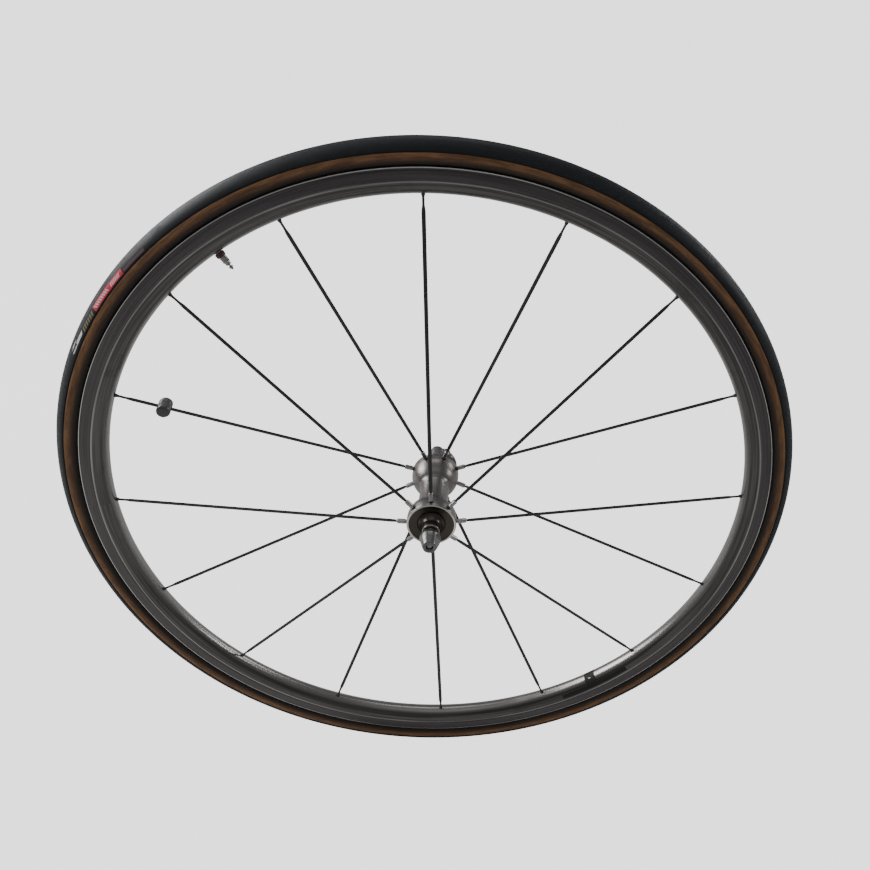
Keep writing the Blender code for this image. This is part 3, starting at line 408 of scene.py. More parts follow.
def woven(name, slot, colour):
    """Plain woven tape."""
    finish = Finish(name, slot, 0.0, 0.8)
    patch = finish.patch
    here = patch.use(PLACES, Reach=308.0)
    warp = patch.sum("SINE", patch.sum("MULTIPLY", here["Around"], TURN / 0.8))
    weft = patch.sum("SINE", patch.sum("MULTIPLY", here["Across"], TURN / 0.8))
    weave = patch.step(patch.sum("MULTIPLY", warp, weft), -0.6, 0.6)
    finish.feed("Base Color", patch.blend(weave, (*[c * 0.5 for c in colour], 1), (*colour, 1)))
    finish.bump(weave, 0.1)
    return finish.material


RIM_LOOK = rim_finish()
TREAD_LOOK = tread_finish()
CASING_LOOK = casing_finish()
HUB_LOOK = turned_metal(
    "anodised_hub", "hub_alloy", (0.21, 0.195, 0.185), (0.36, 0.34, 0.325), 0.33, fineness=5.0, depth=0.004
)
DISC_LOOK = turned_metal(
    "hub_end_face", "hub_alloy", (0.085, 0.074, 0.064), (0.22, 0.20, 0.185), 0.3, fineness=7.0, depth=0.012
)
# Painted highlight: the lip's near white base colour stands for the light caught along the end face's edge.
LIP_HIGHLIGHT_LOOK = turned_metal(
    "hub_end_lip_highlight", "hub_alloy", (0.85, 0.80, 0.75), (0.9, 0.87, 0.84), 0.3, fineness=7.0, dust=0.1
)
SPOKE_LOOK = turned_metal(
    "black_spoke", "spoke_black", (0.060, 0.058, 0.057), (0.12, 0.115, 0.11), 0.42, dust=0.0,
    size=260.0, metallic=0.6
)
NIPPLE_LOOK = turned_metal(
    "silver_nipple", "nipple_silver", (0.36, 0.345, 0.335), (0.7, 0.68, 0.65), 0.26, dust=0.35, size=400.0
)
LOCKNUT_LOOK = turned_metal(
    "dark_locknut", "locknut_alloy", (0.30, 0.29, 0.28), (0.6, 0.58, 0.56), 0.3, fineness=8.0
)
AXLE_LOOK = turned_metal(
    "machined_axle", "axle_alloy", (0.42, 0.41, 0.39), (0.7, 0.68, 0.66), 0.3, fineness=8.0
)
STEEL_LOOK = turned_metal(
    "ground_steel", "bearing_steel", (0.46, 0.45, 0.44), (0.7, 0.7, 0.7), 0.18, fineness=8.0
)
CONE_LOOK = turned_metal(
    "dark_cone", "bearing_steel", (0.15, 0.145, 0.14), (0.4, 0.39, 0.38), 0.3, fineness=8.0
)
ROD_LOOK = turned_metal(
    "plated_steel", "skewer_steel", (0.26, 0.255, 0.245), (0.7, 0.68, 0.66), 0.28, fineness=5.0
)
NUT_LOOK = turned_metal(
    "anodised_nut", "nut_alloy", (0.20, 0.195, 0.19), (0.55, 0.53, 0.5), 0.32, fineness=6.0, size=200.0
)
HOUSING_LOOK = turned_metal(
    "anodised_housing", "housing_alloy", (0.19, 0.185, 0.182), (0.45, 0.43, 0.41), 0.4,
    fineness=6.0, size=200.0
)
LEVER_LOOK = turned_metal(
    "anodised_lever", "lever_alloy", (0.12, 0.116, 0.112), (0.5, 0.48, 0.46), 0.3, fineness=2.0, size=150.0
)
VALVE_LOOK = turned_metal(
    "nickel_valve", "valve_metal", (0.34, 0.325, 0.305), (0.75, 0.72, 0.68), 0.24, fineness=6.0, size=260.0
)
SEAL_LOOK = turned_metal(
    "dust_cap", "seal_rubber", (0.085, 0.074, 0.064), (0.20, 0.185, 0.17), 0.3, fineness=7.0, depth=0.006
)
RING_LOOK = moulded(
    "brown_ring", "ring_plastic", (0.075, 0.024, 0.021), 0.38, dust_colour=(0.09, 0.05, 0.045)
)
MAGNET_LOOK = moulded("grey_magnet", "magnet_plastic", (0.070, 0.070, 0.071), 0.36, grain=400.0, depth=0.008)
SCREW_LOOK = moulded("magnet_screw", "magnet_plastic", (0.028, 0.027, 0.027), 0.36)
TUBE_LOOK = moulded("tube_rubber", "tube_rubber", (0.028, 0.028, 0.029), 0.5)
TAPE_LOOK = woven("rim_tape", "tape_cloth", (0.5, 0.06, 0.05))
LABEL_BLACK = printed("label_black", (0.004, 0.004, 0.004), (0.010, 0.010, 0.010), 0.6)
LABEL_WHITE = printed("label_white", (0.75, 0.74, 0.72), (0.4, 0.39, 0.38))
LABEL_RED = printed("label_red", (0.62, 0.022, 0.06), (0.36, 0.02, 0.04))
LABEL_PINK = printed("label_pink", (0.80, 0.50, 0.50), (0.60, 0.22, 0.24))
LABEL_FADED = printed("label_faded", (0.10, 0.045, 0.055), (0.03, 0.02, 0.024))
LABEL_OLIVE = printed("label_olive", (0.20, 0.185, 0.075), (0.05, 0.046, 0.03))


# ---------------------------------------------------------------- making pieces


def piece(name, bm, look, body, *nodes):
    """Finishes a mesh as one piece that moves with a body and stands for the CAD nodes given."""
    bmesh.ops.recalc_face_normals(bm, faces=bm.faces)
    bmesh.ops.scale(bm, vec=(MM, MM, MM), verts=bm.verts)
    mesh = bpy.data.meshes.new(name)
    bm.to_mesh(mesh)
    bm.free()
    mesh.shade_smooth()
    mesh.set_sharp_from_angle(angle=ANY_CREASE)
    made = bpy.data.objects.new(name, mesh)
    bpy.context.scene.collection.objects.link(made)
    looks = look if isinstance(look, (list, tuple)) else [look]
    for each in looks:
        mesh.materials.append(each)
    if body:
        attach(made, body)
    if nodes:
        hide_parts(*nodes)
    return made


def eased(points, radius, steps=3, closed=True):
    """Rounds the corners of an outline, each by this much or as far as its sides allow."""
    result = []
    for k, point in enumerate(points):
        corner = Vector(point)
        back = Vector(points[k - 1]) - corner
        ahead = Vector(points[(k + 1) % len(points)]) - corner
        at_end = not closed and k in (0, len(points) - 1)
        if at_end or back.length < 1e-6 or ahead.length < 1e-6 or back.angle(ahead) > math.radians(155):
            result.append(tuple(corner))
            continue
        cut = min(radius, back.length * 0.45, ahead.length * 0.45)
        start, end = corner + back.normalized() * cut, corner + ahead.normalized() * cut
        for j in range(steps + 1):
            share = j / steps
            result.append(tuple(start * (1 - share) ** 2 + corner * 2 * share * (1 - share) + end * share**2))
    return result


def mirrored(half):
    """A half outline from the middle plane and back to it, with its mirror image."""
    return half + [(radius, -along) for radius, along in reversed(half) if abs(along) > 0.01]


def flipped(outline, side):
    return [(radius, side * along) for radius, along in outline]


def loops_to_mesh(bm, loops, closed, look_of=None):
    """Skins one loop of points to the next. A loop of one point is a tip."""
    rings = [[bm.verts.new(point) for point in loop] for loop in loops]
    pairs = list(zip(rings, rings[1:] + rings[:1])) if closed else list(zip(rings, rings[1:]))
    for index, (here, there) in enumerate(pairs):
        for k in range(max(len(here), len(there))):
            corners = []
            for ring, step in ((here, k), (here, k + 1), (there, k + 1), (there, k)):
                corner = ring[step % len(ring)]
                if corner not in corners:
                    corners.append(corner)
            face = bm.faces.new(corners)
            if look_of:
                face.material_index = look_of(index)
    if not closed:
        for ring in (rings[0], rings[-1]):
            if len(ring) > 1:
                bm.faces.new(ring)
    return bm


def round_loop(radius, along, sides, shape=None):
    if radius < 1e-6:
        return [Vector((0, along, 0))]
    loop = []
    for k in range(sides):
        angle = TURN * k / sides
        reach = shape(radius, along, angle) if shape else radius
        loop.append(Vector((reach * math.cos(angle), along, reach * math.sin(angle))))
    return loop


def lathe(name, outline, sides, look, body, *nodes, place=None, shape=None, look_of=None):
    """Turns an outline about the Y axis. One that starts on the axis also ends on it."""
    solid = outline[0][0] < 1e-6
    loops = [round_loop(radius, along, sides, shape) for radius, along in outline]
    bm = loops_to_mesh(bmesh.new(), loops, not solid, look_of)
    if place:
        bmesh.ops.transform(bm, matrix=place, verts=bm.verts)
    return piece(name, bm, look, body, *nodes)


def reshape(target, helpers, operation="DIFFERENCE"):
    """Cuts helper shapes out of a piece, or joins them to it, and removes them."""
    for helper in helpers:
        modifier = target.modifiers.new("reshape", "BOOLEAN")
        modifier.operation = operation
        modifier.solver = "EXACT"
        modifier.object = helper
    bpy.context.view_layer.update()
    solid = target.evaluated_get(bpy.context.evaluated_depsgraph_get())
    cut = bpy.data.meshes.new_from_object(solid)
    target.modifiers.clear()
    target.data = cut
    cut.set_sharp_from_angle(angle=ANY_CREASE)
    for helper in helpers:
        bpy.data.objects.remove(helper)


def spoke_place(number):
    """Y runs out along a spoke's line from the axle, and X along the wheel's rotation."""
    angle = TURN * number / SPOKES
    side = -1 if number % 2 == 0 else 1
    outward = Vector((math.cos(angle), 0, math.sin(angle)))
    along = outward * math.cos(TILT) - Vector((0, side * math.sin(TILT), 0))
    tangent = Vector((-math.sin(angle), 0, math.cos(angle)))
    place = Matrix((tangent, along, tangent.cross(along))).transposed().to_4x4()
    place.translation = Vector((0, side * FLANGE_REACH, 0))
    return place


def out_along(radius):
    return radius / math.cos(TILT)


# ---------------------------------------------------------------- rim, tyre and what is inside


def lower_face(steps=14):
    """The rim's curve from below the ridge to the middle of the spoke bed."""
    points = []
    for k in range(steps + 1):
        angle = math.pi / 2 * k / steps
        drop = math.sin(angle) ** (2 / FACE_POWER)
        width = max(math.cos(angle), 0.0) ** (2 / FACE_POWER)
        points.append((RIDGE_FOOT - (RIDGE_FOOT - BED) * drop, 9.7 * width if k < steps else 0.0))
    return points


def make_rim():
    half = [(308.0, 0.0), (308.0, 5.2), (310.9, 6.4), (310.9, 8.3), (RIM_EDGE, 8.0)]
    half = eased(half + [(RIM_EDGE, 9.62), (316.12, 10.0), (306.95, 10.0), (306.6, 9.7)], 0.12, closed=False)
    half += [(306.35, 9.68), (306.05, 9.86), (305.6, 9.99), (305.1, 9.99), (304.6, 9.86)]
    lathe("rim_ring", mirrored(half + lower_face()), RING_SIDES, RIM_LOOK, "wheel", "rim")


def make_tyre():
    def bow(centre, radius, start, end, steps):
        angles = [math.radians(start + (end - start) * k / steps) for k in range(steps + 1)]
        return [(centre + radius * math.cos(a), radius * math.sin(a)) for a in angles]

    tread = bow(TYRE_CENTRE, TYRE_SECTION, 0, 72, 20)
    tread += [(TYRE_CENTRE + 3.3, 11.55), (TYRE_CENTRE + 2.95, 11.4), (TYRE_CENTRE + 2.8, 11.1)]
    tread += bow(CASING_CENTRE, 11.1, 67, 0, 12)
    lathe("tread_band", mirrored(tread), RING_SIDES, TREAD_LOOK, "wheel", "tyre_tread")
    crown = bow(CASING_CENTRE, 10.8, 0, 64, 10)
    wall = [(TYRE_CENTRE + 2.7, 10.9), (TYRE_CENTRE + 2.5, 11.3), (TYRE_CENTRE + 1.9, 11.75)]
    wall += bow(TYRE_CENTRE, 11.95, 85, 122, 8)
    wall += [(TYRE_CENTRE - 7.5, 8.9), (TYRE_CENTRE - 8.3, 7.95), (316.9, 7.75)]
    foot = [(315.6, 7.65), (311.3, 7.85), (311.2, 6.3), (316.5, 6.1), (319.3, 7.4)]
    lining = bow(CASING_CENTRE, 9.5, 100, 0, 10)
    lathe(
        "tyre_walls", mirrored(crown + wall + foot + lining), RING_SIDES, CASING_LOOK, "wheel", "tyre_casing"
    )


def strip(name, profile, spans, look, lift=0.09):
    """A thin label that lies on a ring's profile. Each span is (start angle, end angle, share of the
    profile's width where it starts and where it ends, slant in degrees)."""
    bm = bmesh.new()
    normals = []
    for k, point in enumerate(profile):
        before, after = profile[max(k - 1, 0)], profile[min(k + 1, len(profile) - 1)]
        run = Vector(after) - Vector(before)
        normals.append(Vector((-run.y, run.x)).normalized())
    outside = 1 if normals[0].y * profile[0][1] > 0 else -1

    def at(share, height):
        reach = share * (len(profile) - 1)
        k = min(int(reach), len(profile) - 2)
        point = Vector(profile[k]).lerp(Vector(profile[k + 1]), reach - k)
        return point + normals[k].lerp(normals[k + 1], reach - k) * height * outside

    for start, end, low, high, slant in spans:
        steps = max(2, int(abs(end - start) / 0.4))
        across = max(2, int((high - low) * (len(profile) - 1)))
        grid = {}
        for height in (0, 1):
            for i in range(steps + 1):
                for j in range(across + 1):
                    share = low + (high - low) * j / across
                    radius, along = at(share, lift if height else -0.25)
                    angle = math.radians(start + (end - start) * i / steps + slant * (j / across - 0.5))
                    grid[height, i, j] = bm.verts.new(
                        (radius * math.cos(angle), along, radius * math.sin(angle))
                    )
        for i in range(steps):
            for j in range(across):
                bm.faces.new([grid[1, i, j], grid[1, i + 1, j], grid[1, i + 1, j + 1], grid[1, i, j + 1]])
                bm.faces.new([grid[0, i, j], grid[0, i, j + 1], grid[0, i + 1, j + 1], grid[0, i + 1, j]])
            for j in (0, across):
                bm.faces.new([grid[0, i, j], grid[0, i + 1, j], grid[1, i + 1, j], grid[1, i, j]])
        for i in (0, steps):
            for j in range(across):
                bm.faces.new([grid[0, i, j], grid[0, i, j + 1], grid[1, i, j + 1], grid[1, i, j]])
    piece(name, bm, look, "wheel")


def make_labels():
    """Plain printed marks: a black band with a clasp over the spoke bed, and blocks on the tread."""
    near_face = [(radius, -along) for radius, along in lower_face(28)]
    low_band = [p for p in near_face if 298.6 < p[0] < 303.6]
    strip("rim_band", low_band, [(296.7, 311.9, 0.0, 1.0, 0.0)], LABEL_BLACK)
    over_bed = [p for p in near_face if p[0] < 302.2]
    over_bed += [(r, -y) for r, y in reversed(near_face[:-1]) if r < 302.2]
    strip("rim_clasp", over_bed, [(302.55, 304.95, 0.0, 1.0, 0.0)], LABEL_BLACK)
    strip("rim_clasp_mark", over_bed, [(303.4, 303.95, 0.33, 0.37, 0.0)], LABEL_WHITE, 0.13)
    shoulder = []
    for k in range(13):
        angle = math.radians(-(34 + 38 * k / 12))
        shoulder.append((TYRE_CENTRE + TYRE_SECTION * math.cos(angle), TYRE_SECTION * math.sin(angle)))
    strip("tyre_red", shoulder, [(135.6, 143.2, 0.36, 0.98, 0.0)], LABEL_RED, 0.06)
    bars = [(136.3 + 0.38 * k, 136.55 + 0.38 * k, 0.52, 0.86, 0.25) for k in range(6)]
    bars += [(139.3 + 0.46 * k, 139.6 + 0.46 * k, 0.48, 0.84, -0.3) for k in range(8)]
    strip("tyre_red_bars", shoulder, bars, LABEL_PINK, 0.09)
    strip("tyre_faded", shoulder, [(130.8, 135.4, 0.66, 0.95, 0.0)], LABEL_FADED, 0.05)
    olive = [(143.8 + 0.58 * k, 144.15 + 0.58 * k, 0.5, 0.92, 0.3) for k in range(6)]
    strip("tyre_olive_bars", shoulder, olive, LABEL_OLIVE, 0.06)
    white = [(147.5, 149.7, 0.5, 0.78, 0.5), (149.6, 151.0, 0.3, 0.42, 0.8), (149.8, 151.4, 0.66, 0.78, -0.5)]
    strip("tyre_white_bars", shoulder, white, LABEL_WHITE, 0.06)


# ---------------------------------------------------------------- spokes and nipples


def squared(power):
    """Rounds a circle towards a square as the power grows."""

    def shape(radius, along, angle):
        c, s = abs(math.cos(angle)), abs(math.sin(angle))
        return radius / (c**power + s**power) ** (1 / power)

    return shape


def make_spoke(number):
    """A bladed spoke: round at both ends, flat between, with a small flare where it enters the rim."""
    stations = [
        (20.3, 1.0, 1.0),
        (31.2, 1.05, 1.05),
        (32.4, 1.3, 1.0),
        (34.5, 1.6, 0.85),
        (37.5, 1.72, 0.75),
        (150.0, 1.72, 0.75),
        (279.0, 1.72, 0.75),
        (281.5, 1.5, 0.85),
        (284.0, 1.1, 0.95),
        (286.0, 1.02, 1.0),
        (290.6, 1.05, 1.05),
        (291.6, 1.3, 1.3),
        (292.5, 1.62, 1.62),
        (293.3, 1.75, 1.75),
        (295.6, 1.75, 1.75),
    ]
    loops = []
    for radius, width, thickness in stations:
        loop = round_loop(1.0, out_along(radius), 16)
        loops.append([Vector((p.x * width, p.y, p.z * thickness)) for p in loop])
    bm = loops_to_mesh(bmesh.new(), loops, False)
    bmesh.ops.transform(bm, matrix=spoke_place(number), verts=bm.verts)
    label = f"{number + 1:02d}"
    piece("bladed_spoke_" + label, bm, SPOKE_LOOK, "wheel", "spoke_" + label)


def make_nipple(number):
    """A nipple: a round body with four flats at its outer half for the wrench."""
    label = f"{number + 1:02d}"
    outline = [(1.25, 18.1), (1.9, 18.1), (1.9, 23.6), (2.25, 24.0)]
    outline += [(2.25, 30.2), (2.0, 30.9), (1.6, 31.5), (1.25, 31.6)]
    outline = [(radius, out_along(along)) for radius, along in eased(outline, 0.15, 2)]

    def flats(radius, along, angle):
        if radius > 1.9 and out_along(23.9) < along < out_along(30.6):
            return min(radius, 1.8 / max(abs(math.cos(angle)), abs(math.sin(angle))))
        return radius

    node, place = "nipple_" + label, spoke_place(number)
    lathe("wrench_" + node, outline, 32, NIPPLE_LOOK, "wheel", node, place=place, shape=flats)


# ---------------------------------------------------------------- hub


def make_hub():
    """Two bulbs on a waist, each with a shallow dished face inside a lip painted bright as a highlight."""
    neck = BULB_CENTRE - math.sqrt(BULB_RADIUS**2 - WAIST_RADIUS**2)
    start = math.atan2(WAIST_RADIUS, BULB_CENTRE - neck)
    half = [(WAIST_RADIUS, 0.0), (WAIST_RADIUS, neck - 2.2), (WAIST_RADIUS + 0.25, neck - 0.9)]
    half += [(WAIST_RADIUS + 0.9, neck + 0.25)]
    steps = 22
    for k in range(2, steps + 1):
        angle = start + (math.pi / 2 - start) * k / steps
        half.append((BULB_RADIUS * math.sin(angle), BULB_CENTRE - BULB_RADIUS * math.cos(angle)))
    half += [(BULB_RADIUS, 36.0), (BULB_RADIUS, 39.3), (22.25, 39.9)]
    lip_start = len(half)
    half += [(21.75, 40.28), (21.35, 40.3), (20.95, 40.1)]
    lip_end = len(half)
    half += [(20.6, 39.75), (18.0, 39.35), (15.2, 39.0), (13.4, 38.75), (12.75, 38.5)]
    half += [(12.5, 38.2), (12.5, 30.1), (10.0, 30.1)]
    count = len(half)
    outline = half + [(radius, -along) for radius, along in reversed(half[1:])]
    last = len(outline)

    def look_of(index):
        index = index if index < count else last - 1 - index
        if lip_start - 1 <= index < lip_end:
            return 2
        return 1 if lip_end <= index < count - 2 else 0

    looks = [HUB_LOOK, DISC_LOOK, LIP_HIGHLIGHT_LOOK]
    hub = lathe("hub_body", outline, HUB_SIDES, looks, "wheel", "hub_shell", look_of=look_of)
    drills = bmesh.new()
    for number in range(SPOKES):
        loops = [round_loop(2.4, out_along(radius), 24) for radius in (17.4, 24.5)]
        one = loops_to_mesh(bmesh.new(), loops, False)
        bmesh.ops.transform(one, matrix=spoke_place(number), verts=one.verts)
        holder = bpy.data.meshes.new("drill")
        one.to_mesh(holder)
        one.free()
        drills.from_mesh(holder)
        bpy.data.meshes.remove(holder)
    reshape(hub, [piece("nipple_drills", drills, [None], None)])


def make_bearings():
    """What shows of each bearing: the dust cap, the cone and its locknut with two wrench flats."""
    for side, label in ((-1, "nut_side"), (1, "lever_side")):
        seal = [(7.85, 37.2), (12.3, 37.2), (12.3, 38.3), (11.6, 38.7), (10.4, 39.7)]
        seal += [(9.3, 41.1), (8.6, 42.4), (8.2, 43.1), (7.85, 43.1)]
        seal = flipped(eased(seal, 0.6), side)
        lathe("dust_seal_" + label, seal, 72, SEAL_LOOK, "wheel", "seal_" + label)
        cone = [(4.8, 31.9), (6.4, 31.9), (6.7, 33.4), (7.1, 34.9), (7.6, 36.4), (7.6, 43.0), (4.8, 43.0)]
        cone = flipped(eased(cone, 0.35), side)
        lathe("bearing_cone_" + label, cone, 72, CONE_LOOK, "axle_set", "cone_" + label)
        locknut = [(4.8, 43.3), (7.9, 43.3), (8.0, 43.9), (8.0, 49.3), (7.4, 50.0), (5.2, 50.0), (4.8, 49.7)]

        def two_flats(radius, along, angle):
            flat = 7.4 / max(abs(math.cos(angle)), 0.01)
            return min(radius, flat) if along * side < 47.6 else radius

        node = "locknut_" + label
        locknut = flipped(eased(locknut, 0.3), side)
        lathe(node + "_turned", locknut, 72, LOCKNUT_LOOK, "axle_set", node, shape=two_flats)


def thread(depth, first, last):
    """A screw thread between two places along a turned piece."""

    def shape(radius, along, angle):
        if not first < abs(along) < last:
            return radius
        wave = (abs(along) / THREAD_PITCH + angle / TURN) % 1.0
        return radius - depth * (1 - abs(2 * wave - 1))

    return shape


def thread_outline(outline, first, last):
    """Adds the points that a thread needs to the straight side that runs from first to last."""
    result = []
    for k, point in enumerate(outline):
        result.append(point)
        after = outline[(k + 1) % len(outline)]
        ends = {round(point[1], 3), round(after[1], 3)}
        if abs(point[0] - after[0]) < 1e-6 and ends == {round(first, 3), round(last, 3)}:
            steps = max(2, int(abs(last - first) / THREAD_PITCH * 6))
            result += [(point[0], point[1] + (after[1] - point[1]) * j / steps) for j in range(1, steps)]
    return result


def make_axle():
    outline = [(2.9, -55.0), (4.2, -55.0), (4.5, -54.6), (4.5, 54.6), (4.2, 55.0), (2.9, 55.0)]
    lathe("hollow_axle", outline, 48, AXLE_LOOK, "axle_set", "axle")


# ---------------------------------------------------------------- skewer


def make_rod():
    """The rod ends in an eye that the cam pulls on, and has a thread at the nut's end."""
    straight = [(0.0, -68.6), (2.1, -68.6), (2.5, -68.2), (2.5, -57.0), (2.5, 66.8), (0.0, 66.8)]
    outline = thread_outline(straight, -68.2, -57.0)
    bm = bmesh.new()
    loops = [round_loop(r, y, 32, thread(0.22, 57.2, 68.1)) for r, y in outline]
    loops_to_mesh(bm, loops, False)
    rings = []
    for width, across in ((4.1, -2.4), (4.1, 2.4), (3.0, 2.4), (3.0, -2.4)):
        ring = []
        for k in range(48):
            angle = TURN * (k + 0.5) / 48
            lift = math.copysign(0.9, math.sin(angle))
            ring.append(Vector((across, 71.2 + width * math.cos(angle), width * math.sin(angle) + lift)))
        rings.append(ring)
    loops_to_mesh(bm, rings, True)
    piece("pull_rod", bm, ROD_LOOK, "skewer", "skewer_rod")


def make_spring(name, node, side, body):
    """A conical spring, its small coil next to the end of the axle."""
    start, end = 55.75, 58.55
    turns, steps = 2.5, 90
    loops = []
    for k in range(steps + 1):
        share = k / steps
        angle = TURN * turns * share
        radius = 3.65 + (6.05 - 3.65) * share
        outward = Vector((math.cos(angle), 0, math.sin(angle)))
        centre = outward * radius + Vector((0, side * (start + (end - start) * share), 0))
        ring = []
        for j in range(10):
            a = TURN * j / 10
            ring.append(centre + (outward * math.cos(a) + Vector((0, math.sin(a), 0))) * 0.45)
        loops.append(ring)
    piece(name, loops_to_mesh(bmesh.new(), loops, False), ROD_LOOK, body, node)


def make_nut():
    """The adjusting nut: a blunt cone with two finger flats and the rod's hole through its end."""
    outline = [(ROD_HOLE, RECESS_FLOOR), (RECESS_RADIUS, RECESS_FLOOR), (RECESS_RADIUS, CLAMP_FACE)]
    outline += [(CLAMP_RADIUS, CLAMP_FACE), (CLAMP_RADIUS, 57.9)]
    slope = []
    for k in range(1, 25):
        share = k / 24
        slope.append(
            (CLAMP_RADIUS - 2.7 * share + 0.75 * math.sin(math.pi * share**0.6), 57.9 + 11.8 * share)
        )
    outline = eased(outline, 0.25, 3, closed=False) + slope
    outline += [(6.3, 70.15), (5.9, 70.5), (5.4, 70.6), (3.9, 70.45), (3.3, 70.05), (ROD_HOLE, 69.3)]

    def flats(radius, along, angle):
        depth = min(max((abs(along) - 59.4) / 0.8, 0.0), 1.0)
        flat = (7.9 - 0.17 * (abs(along) - 59.4)) / max(abs(math.cos(angle - FLATS_TURN)), 0.01)
        return radius if radius < 6.2 or flat > radius else radius + (flat - radius) * depth

    lathe("skewer_nut", flipped(outline, -1), 96, NUT_LOOK, "nut", "adjusting_nut", shape=flats)


def across_pin(sections, sides):
    """A stepped pin along X, made of (across, radius, shift along Y) sections about the cam line."""
    loops = []
    for across, radius, shift in sections:
        angles = [TURN * k / sides for k in range(sides)]
        line = CAM_LINE + shift
        loops.append([Vector((across, line + radius * math.cos(a), radius * math.sin(a))) for a in angles])
    return loops_to_mesh(bmesh.new(), loops, False)


def make_housing():
    """A domed case round the cam, open at one side where the lever's journal goes in."""
    outline = [(0.0, 66.0), (ROD_HOLE, 66.0), (ROD_HOLE, RECESS_FLOOR), (RECESS_RADIUS, RECESS_FLOOR)]
    outline += [(RECESS_RADIUS, CLAMP_FACE), (CLAMP_RADIUS, CLAMP_FACE), (CLAMP_RADIUS, 59.0)]
    outline += [(HOUSING_RADIUS, 61.4)]
    outline = eased(outline, 0.3, 3, closed=False)
    for k in range(16):
        angle = math.pi / 2 * k / 16
        rise = HOUSING_END - HOUSING_RADIUS + HOUSING_RADIUS * math.sin(angle)
        outline.append((HOUSING_RADIUS * math.sqrt(math.cos(angle)), rise))
    outline.append((0.0, HOUSING_END))
    housing = lathe("cam_housing", outline, HUB_SIDES, HOUSING_LOOK, "housing", "lever_housing")
    barrel = [(0.0, 6.0, 0), (6.4, 6.5, 0), (6.9, 6.4, 0), (7.2, 6.1, 0), (7.3, 5.6, 0)]
    reshape(housing, [piece("barrel", across_pin(barrel, 64), [None], None)], "UNION")
    cavity = piece("cavity", across_pin([(-5.0, 5.1, 0), (15.0, 5.1, 0)], 48), [None], None)
    tail = piece("tail", across_pin([(-15.0, 2.9, 0), (0.0, 2.9, 0)], 40), [None], None)
    reshape(housing, [cavity, tail])


def make_lever():
    """The lever with its boss, pivot and cam in one forging, closed and so pointing down."""
    sections = [
        (-7.4, 2.3, 0), (-7.2, 2.6, 0), (-4.7, 2.6, 0), (-4.7, 4.8, 0), (-2.8, 4.8, 0), (-2.8, 2.7, 0.9)
    ]
    sections += [(2.8, 2.7, 0.9), (2.8, 4.8, 0), (7.5, 4.8, 0), (7.5, 5.7, 0), (7.8, 6.1, 0), (8.4, 6.35, 0)]
    for k in range(1, 9):
        angle = math.pi / 2 * k / 9
        sections.append((8.4 + 5.6 * math.sin(angle), 6.35 * math.cos(angle) ** 0.8, 0))
    pin = across_pin(sections + [(14.1, 1.0, 0)], 64)
    lever = piece("quick_release_lever", pin, LEVER_LOOK, "lever", "cam_lever")
    loops = []
    for k in range(33):
        share = k / 32
        width = 3.6 + 2.0 * share
        thickness = 4.4 + (1.9 - 4.4) * math.sqrt(share)
        across = 10.8 * math.cos(math.pi / 2 * share) + 6.2 * math.sin(math.pi * share**0.7)
        end = math.sqrt(max(1 - ((share - 0.88) / 0.12) ** 2, 0.03)) if share > 0.88 else 1.0
        loop = []
        for j in range(28):
            angle = TURN * j / 28
            reach = squared(2.6)(1.0, 0, angle)
            side = across + width * end * reach * math.cos(angle)
            out = 4.0 * share**2 + thickness * end**0.5 * reach * math.sin(angle)
            loop.append(Vector((side, CAM_LINE + out, -50.0 * share)))
        loops.append(loop)
    reshape(lever, [piece("arm", loops_to_mesh(bmesh.new(), loops, False), [None], None)], "UNION")


# ---------------------------------------------------------------- valve and magnet


def valve_place():
    outward = Vector((math.cos(VALVE_ANGLE), 0, math.sin(VALVE_ANGLE)))
    tangent = Vector((-math.sin(VALVE_ANGLE), 0, math.cos(VALVE_ANGLE)))
    return Matrix((tangent, outward, tangent.cross(outward))).transposed().to_4x4()


def make_valve():
    """Places along the valve are distances from the axle. It points from the tube to the hub."""
    bed, place = VALVE_FOOT, valve_place()
    stem = [(1.3, 311.2), (3.7, 311.2), (3.7, 310.2), (3.0, 310.2), (3.0, bed - 9.0)]
    stem += [(2.6, bed - 9.6), (2.3, bed - 10.2), (2.3, bed - 11.9), (2.05, bed - 12.2), (1.3, bed - 12.2)]
    outline = thread_outline(stem, 310.2, bed - 9.0)
    shape = thread(0.2, bed - 8.8, 309.9)
    lathe("threaded_stem", outline, 40, VALVE_LOOK, "wheel", "valve_stem", place=place, shape=shape)
    ring = [(3.3, bed - 0.3), (3.9, bed - 0.3), (4.0, bed - 0.6), (3.9, bed - 3.2)]
    ring += [(3.6, bed - 3.9), (3.3, bed - 4.0)]

    def knurl(radius, along, angle):
        return radius - 0.18 * (math.sin(angle * 20) > 0) if radius > 3.8 else radius

    ring = eased(ring, 0.15, 2)
    lathe("knurled_ring", ring, 80, RING_LOOK, "wheel", "valve_lock_ring", place=place, shape=knurl)
    tip = bed - 17.0
    pin = [(0.0, bed - 7.2), (0.8, bed - 7.2), (0.8, tip + 3.4), (1.5, tip + 3.4), (1.8, tip + 3.1)]
    pin += [(1.8, tip + 2.1), (1.3, tip + 1.3), (0.8, tip + 0.8), (0.7, tip + 0.25), (0.4, tip), (0.0, tip)]
    lathe("valve_pin", pin, 32, VALVE_LOOK, "valve_tip", "valve_tip", place=place)


